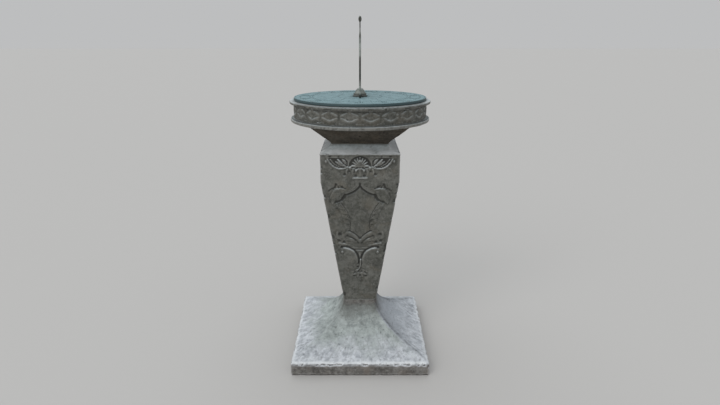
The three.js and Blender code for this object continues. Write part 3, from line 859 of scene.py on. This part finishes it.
def make_shaft():
    low = resampled([(FOOT_HALF, SHAFT_BOTTOM), (BLOCK_HALF, BLOCK_BOTTOM)], 2.05)
    block = resampled([(BLOCK_HALF, BLOCK_BOTTOM), (BLOCK_HALF, BLOCK_TOP)], 1.9)
    shoulder = bezier((BLOCK_HALF, BLOCK_TOP), (107, 733), (93, 737), (NECK_HALF, SHAFT_TOP))
    profile = joined(low, block, resampled(shoulder, 2.2))
    grid = Stack(profile, 120, arris_wear(7, 2.0, 10.0, 20))
    level = grid.points[..., 2]
    on_face = smooth(grid.gap, 2.0, 9.0) * (level < BLOCK_TOP - 0.5)
    carved, untouched = carved_face(grid)
    height = carved * on_face
    height = 0.5 * blurred(height, 1) + 0.5 * height
    crown = smooth(level, BLOCK_TOP - 5.5, BLOCK_TOP - 4.0) * (level <= BLOCK_TOP + 0.1)
    height = np.where(crown > 0, np.maximum(height, 1.4 * crown), height)
    height += weathering(grid.points, 80, 0.6, 0.9) * (0.55 + 0.45 * untouched)
    height -= edge_loss(profile, (BLOCK_HALF, BLOCK_TOP), 3.0, (0.6, 3.0), grid.points, 90, 18)
    height[[0, -1]] = 0
    edge, notch = arris_marks(grid)
    damp_and_shadow, dry = shaft_stains_and_shading(grid)
    # Painted shade and dirt: the deeper the carving is sunk, the darker it is painted.
    sunk = 0.5 * unit(-height / 3.5 - 0.25) * on_face
    stone_piece(
        "stone_shaft", grid, height, "shaft", STONE,
        more_dirt_and_shade=notch * (level < BLOCK_TOP - 3) + sunk + damp_and_shadow, more_wear_and_sheen=edge + dry,
        low_socket=(SHAFT_BOTTOM, node_box("base_dowel_grout")[1][2]),
        high_socket=(SHAFT_TOP, node_box("neck_dowel_lead")[0][2]),
    )


# ---------------------------------------------------------------- capital

def make_capital():
    flare = bezier((NECK_HALF, CAPITAL_BOTTOM), (93, 757), (102, 764), (CAPITAL_HALF, CAPITAL_TOP), steps=30)
    grid = Stack(resampled(flare, 2.0), 96, arris_wear(13, 2.5, 5.0))
    height = weathering(grid.points, 120, 0.8, 1.1)
    height[[0, -1]] = 0
    stone_piece(
        "stone_capital", grid, height, "capital", CAPITAL_STONE,
        low_socket=(CAPITAL_BOTTOM, node_box("neck_dowel_grout")[1][2]),
        high_socket=(CAPITAL_TOP, node_box("drum_dowel_lead")[0][2]),
    )


# ---------------------------------------------------------------- drum

GUILLOCHE_REPEATS = 22


def guilloche(angle, level, width=3.4):
    """Two strands that cross and part round the band, with a boss in every eye."""
    low, high = LOWER_LIP_TOP + 1.5, UPPER_LIP_BOTTOM - 3.5
    middle = (low + high) / 2 + 2.5
    swing = high - middle - 2.0
    step = BAND_RADIUS / (GUILLOCHE_REPEATS / 2)
    phase = (angle + math.pi / 2) * GUILLOCHE_REPEATS / 2
    wave = (2 / math.pi) * np.arcsin(0.97 * np.sin(phase))
    height = np.zeros(angle.shape)
    for hand in (1, -1):
        off = (level - middle - hand * swing * wave) / math.hypot(1, swing / step)
        height = np.maximum(height, 1.2 * bell(off, width))
    eye = unit(np.abs(np.cos(phase)))
    across, between = np.arccos(eye) * step, np.arcsin(eye) * step
    spot = np.hypot(across / 1.25, level - middle)
    height = np.maximum(height, 0.5 * bell(spot, 6.5)) - 1.1 * bell(spot, 4.6)
    dart = unit(2.2 - between / 3.4 - np.abs(level - high) / 5)
    height = np.maximum(height, 1.3 * dart)
    for aside, size in ((0.0, 3.6), (9.5, 2.6)):
        bead = np.hypot((across - aside) / 1.5, level - low - 3.0) / size
        height += (0.6 - np.clip(height, 0, 0.6)) * np.sqrt(unit(1 - bead**2))
    fillet = smooth(np.abs(level - high - 1.7), 1.8, 0.9)
    return np.where(fillet > 0, np.maximum(height, 1.3 * fillet), height)


def lip(radius, low, high, round_by):
    """The outer curve of a lip, from under it to over it."""
    return bezier(
        (radius - round_by, low), (radius - 0.3, low + 0.2), (radius, low + 2), (radius, (low + high) / 2),
        (radius, high - 2), (radius - 0.3, high - 0.2), (radius - round_by, high), steps=8,
    )


def drum_profile():
    """The head's outline: bed, lower lip, ledge, band, soffit, upper lip, top."""
    band_foot = (BAND_RADIUS + 0.6, LOWER_LIP_TOP + 0.8)
    band_head = (BAND_RADIUS, UPPER_LIP_BOTTOM - 0.4)
    return joined(
        resampled([(CAPITAL_HALF - 60, DRUM_BOTTOM), (LOWER_LIP - 5, DRUM_BOTTOM)], 7),
        resampled(lip(LOWER_LIP, DRUM_BOTTOM, LOWER_LIP_TOP, 5), 1.5),
        resampled([(LOWER_LIP - 5, LOWER_LIP_TOP), band_foot], 1.6),
        resampled([band_foot, band_head], 1.45),
        resampled([band_head, (UPPER_LIP - 4, UPPER_LIP_BOTTOM)], 2.2),
        resampled(lip(UPPER_LIP, UPPER_LIP_BOTTOM, DRUM_TOP, 4), 1.5),
        resampled([(UPPER_LIP - 4, DRUM_TOP), (PLATE_RADIUS - 16, DRUM_TOP)], 2.5),
    )


def make_drum():
    profile = drum_profile()
    grid = Turning(profile, 660)
    points = grid.points
    x, y, level = np.moveaxis(points, -1, 0)
    radius = np.hypot(x, y)
    on_band = smooth(level, LOWER_LIP_TOP + 1, LOWER_LIP_TOP + 2) * (radius < BAND_RADIUS + 0.7)
    on_band = on_band * (level < UPPER_LIP_BOTTOM - 0.45)
    height = guilloche(grid.angle, level) * on_band
    height += weathering(points, 150, 0.4, 0.8) * (radius > PLATE_RADIUS - 8)
    height -= edge_loss(profile, (LOWER_LIP, DRUM_BOTTOM + 3), 3.2, (0.0, 3.2), points, 170)
    height -= edge_loss(profile, (UPPER_LIP, UPPER_LIP_BOTTOM + 2), 2.8, (0.0, 2.4), points, 180, 20)
    height[0] = 0
    height[(level > DRUM_TOP - 0.6) & (radius < PLATE_RADIUS)] = 0

    sides = smooth(np.abs(x), 180, 215)
    low_band = on_band * (1 - smooth(level, LOWER_LIP_TOP + 5, LOWER_LIP_TOP + 16))
    on_ledge = (radius < LOWER_LIP - 0.9) * (radius > BAND_RADIUS - 2)
    low_ledge = (np.abs(level - LOWER_LIP_TOP) < 1.7) * on_ledge
    # Painted shade over the lower lip's rounded top.
    lip_top_shade = smooth(level, LOWER_LIP_TOP - 4.5, LOWER_LIP_TOP - 1.8) * (level < LOWER_LIP_TOP + 0.4)
    ledges = ((level > DRUM_TOP - 2.5) * 0.72 + low_ledge * 0.95) * (1 - 0.6 * sides)
    ledges += 0.5 * lip_top_shade * (radius > LOWER_LIP - 6) * (1 - 0.5 * sides)
    lips = smooth(radius, BAND_RADIUS + 4, BAND_RADIUS + 9) * (0.6 + 0.6 * gradient_noise(points, 28, 190))
    lips = lips * np.where(level > BAND_TOP, 0.1, 0.28) + 0.35 * sides * (radius > BAND_RADIUS + 3)
    lips = lips * (1 - low_ledge) + 0.34 * (radius > LOWER_LIP - 4.5) * (level < LOWER_LIP_TOP - 3)
    lips += on_band * (0.26 * np.clip(guilloche(grid.angle, level, 5.0), 0, 1.3) - 0.3)
    stone_piece(
        "stone_drum", grid, height, "drum_head", STONE, more_dirt_and_shade=0.2 * low_band + ledges, more_wear_and_sheen=lips,
        low_socket=(DRUM_BOTTOM, node_box("drum_dowel_grout")[1][2]),
    )


# ---------------------------------------------------------------- mortar joints

def make_mortar(name, node, half):
    """Weathered pointing, a little back from the stone and ragged along its edge."""
    low, high = node_box(node)
    profile = resampled([(half - 0.5, low[2]), (half - 0.5, high[2])], 0.75)
    grid = Stack(profile, 70, arris_wear(23, 2.5, 2.0))
    height = 0.35 * layered_noise(grid.points, 12, 3, 200) - 0.3
    stone_piece(name, grid, height, node, MORTAR)


# ---------------------------------------------------------------- bronze: dial plate

LATITUDE = math.radians(51.5)
ENGRAVE = 0.9
RIM_BEVEL = 0.9
SCREW_CIRCLE = 199.0
SCREW_HOLE = 5.2
GLYPH_HEIGHT = 21.0
CHAPTER_RADIUS = 175.0
NUMERALS = dict(enumerate("IIII V VI VII VIII IX X XI XII I II III IIII V VI VII VIII".split(), start=4))


def circle(radius, sides=240, centre=(0, 0)):
    angle = np.arange(sides) * 2 * math.pi / sides
    return np.array(centre) + radius * np.stack([np.cos(angle), np.sin(angle)], 1)


def turned_points(points, angle, centre=(0, 0)):
    """Points turned about the origin by an angle in radians, then moved to a centre."""
    cos, sin = math.cos(angle), math.sin(angle)
    return np.asarray(points, float) @ np.array([[cos, sin], [-sin, cos]]) + centre


def bar(start, end, width):
    """A straight stroke as a rectangle."""
    start, end = np.array(start, float), np.array(end, float)
    side = np.array([start[1] - end[1], end[0] - start[0]])
    side *= width / 2 / np.hypot(*side)
    return np.array([start + side, start - side, end - side, end + side])


def hour_line(hour):
    """Start and direction of the line that the style's shadow reaches at a clock hour."""
    angle = math.radians(15 * (12 - hour))
    direction = np.array([math.sin(LATITUDE) * math.sin(angle), -math.cos(angle)])
    before_noon = hour < 12 if abs(hour - 12) <= 6 else hour > 12
    start = np.array([BLADE_HALF if before_noon else -BLADE_HALF, ROOT_Y])
    return start, direction / np.hypot(*direction)


def meet_circle(start, direction, radius):
    """Where a line leaves a circle about the centre, or None if it doesn't from there on."""
    middle = start @ direction
    square = middle**2 + radius**2 - start @ start
    ahead = math.sqrt(max(square, 0)) - middle
    return start + direction * ahead if square > 0 and ahead > 0 else None


def glyph_strokes(letter):
    """Thick and thin strokes with serifs, and how far the letter advances."""
    top, half = GLYPH_HEIGHT / 2, 4.6
    stems, ends, serif, advance = {
        "I": ([((0, -top), (0, top), 3.0)], [(0, top), (0, -top)], 2.9, 7.0),
        "V": ([((-half, top), (0, -top), 3.0), ((half, top), (0, -top), 1.1)],
              [(-half, top), (half, top)], 2.6, 14.2),
        "X": ([((-half, top), (half, -top), 3.0), ((half, top), (-half, -top), 1.1)],
              [(x, y) for y in (-top, top) for x in (-half, half)], 2.6, 14.2),
    }[letter]
    strokes = [bar(*stem) for stem in stems]
    return strokes + [bar((x - serif, y), (x + serif, y), 0.9) for x, y in ends], advance


def numeral(text, place):
    """Strokes of a Roman numeral that stands on the chapter ring with its feet outwards."""
    glyphs = [glyph_strokes(letter) for letter in text]
    pen = -sum(advance for _, advance in glyphs) / 2
    angle = math.atan2(place[1], place[0]) + math.pi / 2
    strokes = []
    for shapes, advance in glyphs:
        strokes += [turned_points(shape + (pen + advance / 2, 0), angle, place) for shape in shapes]
        pen += advance
    return strokes


def compass_rose():
    """A sixteen-pointed star whose points are each cut away on one side."""
    shapes = []
    for i in range(16):
        reach, foot = (64, 15) if i % 4 == 0 else (50, 17) if i % 2 == 0 else (36, 24)
        half = math.pi / 8 if i % 2 == 0 else math.pi / 16
        flank = (foot * math.sin(half), foot * math.cos(half))
        shapes.append(turned_points([(0, 6), flank, (0, reach)], -i * math.pi / 8))
    return shapes


def hour_marks():
    """Numerals with their hour lines, ticks every five minutes, and diamonds at the half hours."""
    shapes = []
    for hour, text in NUMERALS.items():
        start, direction = hour_line(hour)
        shapes += numeral(text, meet_circle(start, direction, CHAPTER_RADIUS))
        inner = meet_circle(start, direction, 74)
        inner = start + direction * 40 if inner is None else inner
        outer = meet_circle(start, direction, 151)
        if (outer - inner) @ direction > 10:
            shapes.append(bar(inner, outer, 1.1))
    for step in range(4 * 12, 20 * 12 + 1):
        start, direction = hour_line(step / 12)
        inner, width = (152.0, 1.3) if step % 3 == 0 else (155.5, 0.8)
        shapes.append(bar(meet_circle(start, direction, inner), meet_circle(start, direction, 160.6), width))
        outer = meet_circle(start, direction, 151)
        foot = outer - direction * 22
        if step % 12 == 6 and (foot - start) @ direction > 30:
            turn = math.atan2(direction[1], direction[0]) - math.pi / 2
            diamond = turned_points([(0, 4), (-1.8, 0), (0, -4), (1.8, 0)], turn, foot)
            shapes += [bar(foot, outer, 0.8), diamond]
    return shapes


def dial_engraving():
    """Outlines cut into the dial: (outline, inner outline or None, depth)."""
    rings = (205.6, 0.9), (191.5, 1.3), (189.2, 0.6), (161.0, 1.1), (151.5, 1.1), (71.0, 1.2), (67.5, 0.7)
    cuts = [(circle(r + w / 2), circle(r - w / 2), ENGRAVE) for r, w in rings]
    cuts += [(shape, None, ENGRAVE) for shape in hour_marks() + compass_rose()]
    mark = [(0, 8), (-1.6, 1.8), (-5, 0), (-1.6, -1.8), (0, -8), (1.6, -1.8), (5, 0), (1.6, 1.8)]
    return cuts + [(np.array(mark, float) + (0, -137), None, 1.6)]


def sunk_disc(rim, cuts, top):
    """A flat disc with cuts in it: vertices (mm), triangles, and a ring of rim vertex indices.
    A cut is (outline, inner outline or None, depth)."""
    points, edges = [], []
    for loop in [rim] + [part for cut in cuts for part in cut[:2] if part is not None]:
        first = len(points)
        points += [Vector(p) for p in loop]
        edges += [(first + i, first + (i + 1) % len(loop)) for i in range(len(loop))]
    flat, _, triangles, origin, _, _ = delaunay_2d_cdt(points, edges, [], 0, 1e-4)
    flat = np.array([tuple(p) for p in flat])
    triangles = np.array(triangles)
    centre = flat[triangles].mean(1)
    depth = np.zeros(len(triangles))
    for outline, inner, cut_depth in cuts:
        close = np.nonzero(((centre > outline.min(0)) & (centre < outline.max(0))).all(1))[0]
        u, v = centre[close].T
        inside = inside_polygon(outline, u, v)
        if inner is not None:
            inside &= ~inside_polygon(inner, u, v)
        depth[close[inside]] = np.maximum(depth[close[inside]], cut_depth)
    vertices, faces, lookup, sides = [], [], {}, {}

    def vertex(i, level):
        if (i, level) not in lookup:
            lookup[i, level] = len(vertices)
            vertices.append((*flat[i], top - level))
        return lookup[i, level]

    for triangle, level in zip(triangles, depth):
        faces.append(tuple(vertex(i, level) for i in triangle))
        for a, b in zip(triangle, np.roll(triangle, -1)):
            sides[a, b] = level
    for (a, b), level in sides.items():
        other = sides.get((b, a), level)
        if other > level:
            faces.append((vertex(b, level), vertex(a, level), vertex(a, other), vertex(b, other)))
    from_input = {source: i for i, sources in enumerate(origin) for source in sources}
    return vertices, faces, [lookup[from_input[i], 0.0] for i in range(len(rim))]


def make_dial():
    rim_radius = PLATE_RADIUS - RIM_BEVEL - 0.3
    rim = circle(rim_radius, 360)
    screws = [SCREW_CIRCLE * ray(degrees) for degrees in (45, 135, 225, 315)]
    cuts = dial_engraving() + [(circle(SCREW_HOLE, 32, place), None, 5.5) for place in screws]
    vertices, faces, previous = sunk_disc(rim, cuts, PLATE_TOP)
    profile = [
        (PLATE_RADIUS - RIM_BEVEL, PLATE_TOP - 0.15), (PLATE_RADIUS - 0.35, PLATE_TOP - 1.2),
        (PLATE_RADIUS, PLATE_TOP - 1.9), (PLATE_RADIUS, PLATE_BOTTOM + 0.8),
        (PLATE_RADIUS - 0.8, PLATE_BOTTOM),
    ]
    after = [*range(1, len(rim)), 0]
    for radius, height in profile:
        ring = list(range(len(vertices), len(vertices) + len(rim)))
        vertices += [(x, y, height) for x, y in rim * radius / rim_radius]
        faces += [(previous[j], previous[i], ring[i], ring[j]) for i, j in enumerate(after)]
        previous = ring
    faces += [(len(vertices), previous[j], previous[i]) for i, j in enumerate(after)]
    vertices.append((0, 0, PLATE_BOTTOM))
    make_piece("engraved_dial", vertices, faces, VERDIGRIS, "dial_plate", sharp=35)


# ---------------------------------------------------------------- bronze: gnomon

STYLE_TOP = TIP_TOP - PLATE_TOP
TENON_DEPTH = PLATE_TOP - TENON_BOTTOM
TIP_Y = ROOT_Y - STYLE_TOP / math.tan(LATITUDE)
RING_CENTRE = (11.0, 61.0)
RING_RADIUS = 44.5


def below_style(y, h):
    """How far a point of the blade's plane is below the edge that casts the shadow."""
    return (ROOT_Y - y) * math.sin(LATITUDE) - h * math.cos(LATITUDE)


def from_acorn(y, h):
    """Distance from the middle of the acorn at the tip, 1 at its outline."""
    return np.hypot((y - TIP_Y - 3.4) / 5.2, (h - STYLE_TOP + 9) / 9)


def gnomon_field(y, h):
    """How deep each point of the blade's plane is inside its bronze, in mm; negative is outside."""

    def stroke(path, width, end=1.0, middle=1.0):
        distance, along, _ = path_distance(path, y, h)
        belly = 1 + (middle - 1) * np.sin(math.pi * along)
        return width * (1 + (end - 1) * along) * belly - distance

    under = below_style(y, h)
    rail_width = 13.0 - 6.5 * smooth(h / STYLE_TOP, 0.72, 1.0)
    support = bezier((-40, 14), (-58, 30), (-30, 42), (-40, 62), (-47, 76), (-56, 88), (-54, 112),
                     (-52, 146), (-36, 168), (-6, 172))
    parts = [
        np.minimum.reduce([under, rail_width - under, h, STYLE_TOP - 3 - h]),
        np.minimum.reduce([h, 10.5 - h, y - TOE_Y - 6, under]),
        np.minimum(stroke(spiral((-48, 22), 11, 20, 1.25), 3.6, 0.7), h),
        np.minimum(13.5 - np.hypot(y + 48, h - 13), h),
        stroke(support, 5.4, 0.75, 1.3),
        stroke(spiral((-29, 154), 11, 110, 1.35), 3.2, 0.6),
        stroke(bezier((-34, 160), (-38, 176), (-42, 190), (-28, 208)), 4.4, 0.6, 1.2),
        4.6 - np.abs(np.hypot(y - RING_CENTRE[0], h - RING_CENTRE[1]) - RING_RADIUS),
        stroke(bezier((-40, 84), (-34, 92), (-28, 98), (-22, 98)), 3.4, 0.5),
        stroke(bezier((62, 12), (72, 22), (84, 26), (92, 18)), 3.2, 0.4),
        stroke(spiral((-38, 118), 8, -150, 1.1, 0.3), 2.6, 0.6),
        7.0 * (1 - from_acorn(y, h)),
    ]
    for tenon in (-42, 92):
        parts.append(np.minimum.reduce([8 - np.abs(y - tenon), h + TENON_DEPTH, 6 - h]))
    return np.maximum.reduce(parts)


def blade_half_thickness(y, h, depth):
    """Half the blade's thickness: rounded edges, a crisp style, a slim beak and an acorn tip."""
    slim = 1 - 0.42 * smooth(h, 178, 200)
    near_style = 1 - smooth(below_style(y, h), 1.0, 4.0)
    edge = 1.3 + (BLADE_HALF - 0.35 - 1.3) * near_style
    round_off = np.sqrt(unit(1 - (1 - unit(depth / 2.6)) ** 2))
    acorn = 4.8 * np.sqrt(unit(1 - from_acorn(y, h) ** 2))
    return np.maximum((edge + (BLADE_HALF - edge) * round_off) * slim, acorn)


def outlined_cells(field, ys, hs):
    """Polygons that fill where a gridded field is positive, with edges placed between grid lines."""
    places, polygons, border, lookup = [], [], [], {}

    def put(key, place):
        if key not in lookup:
            lookup[key] = len(places)
            places.append(place)
        return lookup[key]

    inside = field > 0
    rows, columns = np.nonzero(inside[:-1, :-1] | inside[1:, :-1] | inside[:-1, 1:] | inside[1:, 1:])
    for i, j in zip(rows.tolist(), columns.tolist()):
        corners = [(i, j), (i + 1, j), (i + 1, j + 1), (i, j + 1)]
        polygon, leaving = [], []
        for a, b in zip(corners, corners[1:] + corners[:1]):
            if inside[a]:
                polygon.append(put(a, (ys[a[0]], hs[a[1]])))
            if inside[a] != inside[b]:
                low, high = min(a, b), max(a, b)
                share = np.clip(field[low] / (field[low] - field[high]), 0.05, 0.95)
                y = ys[low[0]] + share * (ys[high[0]] - ys[low[0]])
                h = hs[low[1]] + share * (hs[high[1]] - hs[low[1]])
                polygon.append(put((low, high), (y, h)))
                leaving.append((polygon[-1], inside[a]))
        if len(polygon) > 2:
            polygons.append(polygon)
            for k, (spot, out) in enumerate(leaving):
                if out:
                    border.append((spot, leaving[(k + 1) % len(leaving)][0]))
    return np.array(places), polygons, border


def make_blade():
    step = 1.05
    ys = np.arange(TOE_Y - 2.1, ROOT_Y + 2, step)
    hs = np.arange(-TENON_DEPTH - 1.03, STYLE_TOP + 2, step)
    places, polygons, border = outlined_cells(gnomon_field(*np.meshgrid(ys, hs, indexing="ij")), ys, hs)
    y, h = places.T
    half = blade_half_thickness(y, h, np.maximum(gnomon_field(y, h), 0))
    flanks = [np.column_stack([side * half, y, h + PLATE_TOP]) for side in (1, -1)]
    count = len(places)
    faces = [tuple(p) for p in polygons]
    faces += [tuple(i + count for i in reversed(p)) for p in polygons]
    faces += [(b, a, a + count, b + count) for a, b in border]
    make_piece("cast_gnomon", np.vstack(flanks), faces, BRONZE, "gnomon_blade", sharp=48)


def make_cheek(name, node, side):
    """Half of a gadrooned boss beside the blade."""
    low, high = node_box(node)
    face, reach = sorted((abs(low[0]), abs(high[0])))
    stretch = high[1] / reach
    crown = high[2] - PLATE_TOP
    outline = joined(
        bezier((reach - 0.6, 0), (reach, 1.0), (reach, 2.4), (reach - 1.2, 3.4), steps=6),
        bezier((reach - 1.2, 3.4), (reach - 3.6, 4.6), (reach - 3.4, 8), (reach - 5.6, 11), steps=6),
        bezier((reach - 5.6, 11), (reach - 8.5, 16), (reach - 12, crown - 2), (face + 4.2, crown), steps=14),
    )
    angles = np.linspace(-math.pi / 2, math.pi / 2, 61)
    radius, height = outline[:, 0][:, None], outline[:, 1][:, None]
    lobes = 0.1 * smooth(height, 10, 14) * (1 - smooth(height, crown - 3, crown))
    radius = face + (radius - face) * (1 - lobes * (1 - np.abs(np.cos(4 * angles)) ** 0.6))
    x = side * (face + (radius - face) * np.cos(angles))
    vertices = np.stack([x, radius * stretch * np.sin(angles), PLATE_TOP + height + 0 * x], -1).reshape(-1, 3)
    rows, columns = x.shape
    faces = [tuple(range(columns))[::-1], tuple(range((rows - 1) * columns, rows * columns))]
    for a in range(0, (rows - 1) * columns, columns):
        b = a + columns
        faces += [(a + j, a + j + 1, b + j + 1, b + j) for j in range(columns - 1)]
        faces.append((a, b, b + columns - 1, b - 1))
    faces = faces if side > 0 else [corners[::-1] for corners in faces]
    make_piece(name, vertices, faces, BRONZE, node, sharp=40)


def make_rivet():
    """The rivet through both bosses, its heads just proud of them."""
    low, high = node_box("gnomon_rivet")
    axis = (low[2] + high[2]) / 2
    seat, crown = high[0] - 5.6, high[0] - 3.6
    outline = [(0.05, crown), (1.6, crown - 0.2), (3.0, seat + 0.9), (3.2, seat), (2.0, seat)]
    outline += [(radius, -x) for radius, x in outline[::-1]]
    sides = 32
    vertices = [(x, y, axis + z) for radius, x in outline for y, z in circle(radius, sides)]
    faces = [corners[::-1] for corners in grid_faces(len(outline), sides)]
    faces += [list(range(sides)), list(range(len(vertices) - sides, len(vertices)))[::-1]]
    make_piece("rivet", vertices, faces, BRONZE, "gnomon_rivet", sharp=40)


# ---------------------------------------------------------------- camera, light and floor

CAMERA_BACK = 1.5936
CAMERA_HEIGHT = 1.05
CAMERA_PITCH = math.radians(71.882)
CAMERA_LENS = 24.48
FLOOR_HALF = 90


def make_camera():
    data = bpy.data.cameras.new("camera")
    data.sensor_width = 36
    data.lens = CAMERA_LENS
    camera = bpy.data.objects.new("camera", data)
    camera.location = (0, -CAMERA_BACK, CAMERA_HEIGHT)
    camera.rotation_euler = (CAMERA_PITCH, 0, 0)
    bpy.context.scene.collection.objects.link(camera)
    bpy.context.scene.camera = camera


def make_floor():
    mesh = bpy.data.meshes.new("floor")
    corners = [(x * FLOOR_HALF, y * FLOOR_HALF, 0) for x, y in ((-1, -1), (1, -1), (1, 1), (-1, 1))]
    mesh.from_pydata(corners, [], [(0, 1, 2, 3)])
    floor = bpy.data.objects.new("floor", mesh)
    n = Nodes("pale_floor")
    mesh.materials.append(n.finish((0.52, 0.51, 0.5, 1), 0.9, n.bumps((n.noise(300.0), 0.05, 0.0005))))
    bpy.context.scene.collection.objects.link(floor)


def soft_light(name, towards, angle, strength, colour):
    """A wide, even light that falls on the whole floor alike; towards points from the object to it."""
    data = bpy.data.lights.new(name, "SUN")
    data.angle = math.radians(angle)
    data.energy = strength
    data.color = colour
    light = bpy.data.objects.new(name, data)
    light.location = Vector(towards) * 3
    light.rotation_euler = Vector(towards).to_track_quat("Z", "Y").to_euler()
    bpy.context.scene.collection.objects.link(light)


def make_light():
    world = bpy.data.worlds.new("studio")
    world.use_nodes = True
    background = world.node_tree.nodes["Background"]
    background.inputs["Color"].default_value = (0.98, 0.99, 1.0, 1)
    background.inputs["Strength"].default_value = 0.52
    bpy.context.scene.world = world
    soft_light("sky_box", (-0.15, 0.25, 1.0), 70, 1.0, (0.93, 0.98, 1.0))
    soft_light("key_box", (-0.52, -0.72, 0.62), 40, 0.85, (1.0, 0.98, 0.95))


def finish_for(node):
    """The material of a CAD node that stays as it is."""
    if "dial_plate" in node:
        return VERDIGRIS
    if "lead" in node or "plug" in node:
        return LEAD
    if "mortar" in node or "grout" in node or "bed" in node:
        return MORTAR
    return BRONZE


bpy.context.scene.view_settings.view_transform = "Standard"
make_camera()
make_floor()
make_light()
make_plinth()
make_shaft()
make_capital()
make_drum()
make_mortar("mortar_base_joint", "base_joint_mortar", FOOT_HALF)
make_mortar("mortar_neck_joint", "neck_joint_mortar", NECK_HALF)
make_dial()
make_blade()
make_cheek("gnomon_boss_left", "gnomon_cheek_left", -1)
make_cheek("gnomon_boss_right", "gnomon_cheek_right", 1)
make_rivet()

for name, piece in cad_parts.items():
    piece.data.materials.clear()
    piece.data.materials.append(finish_for(name))
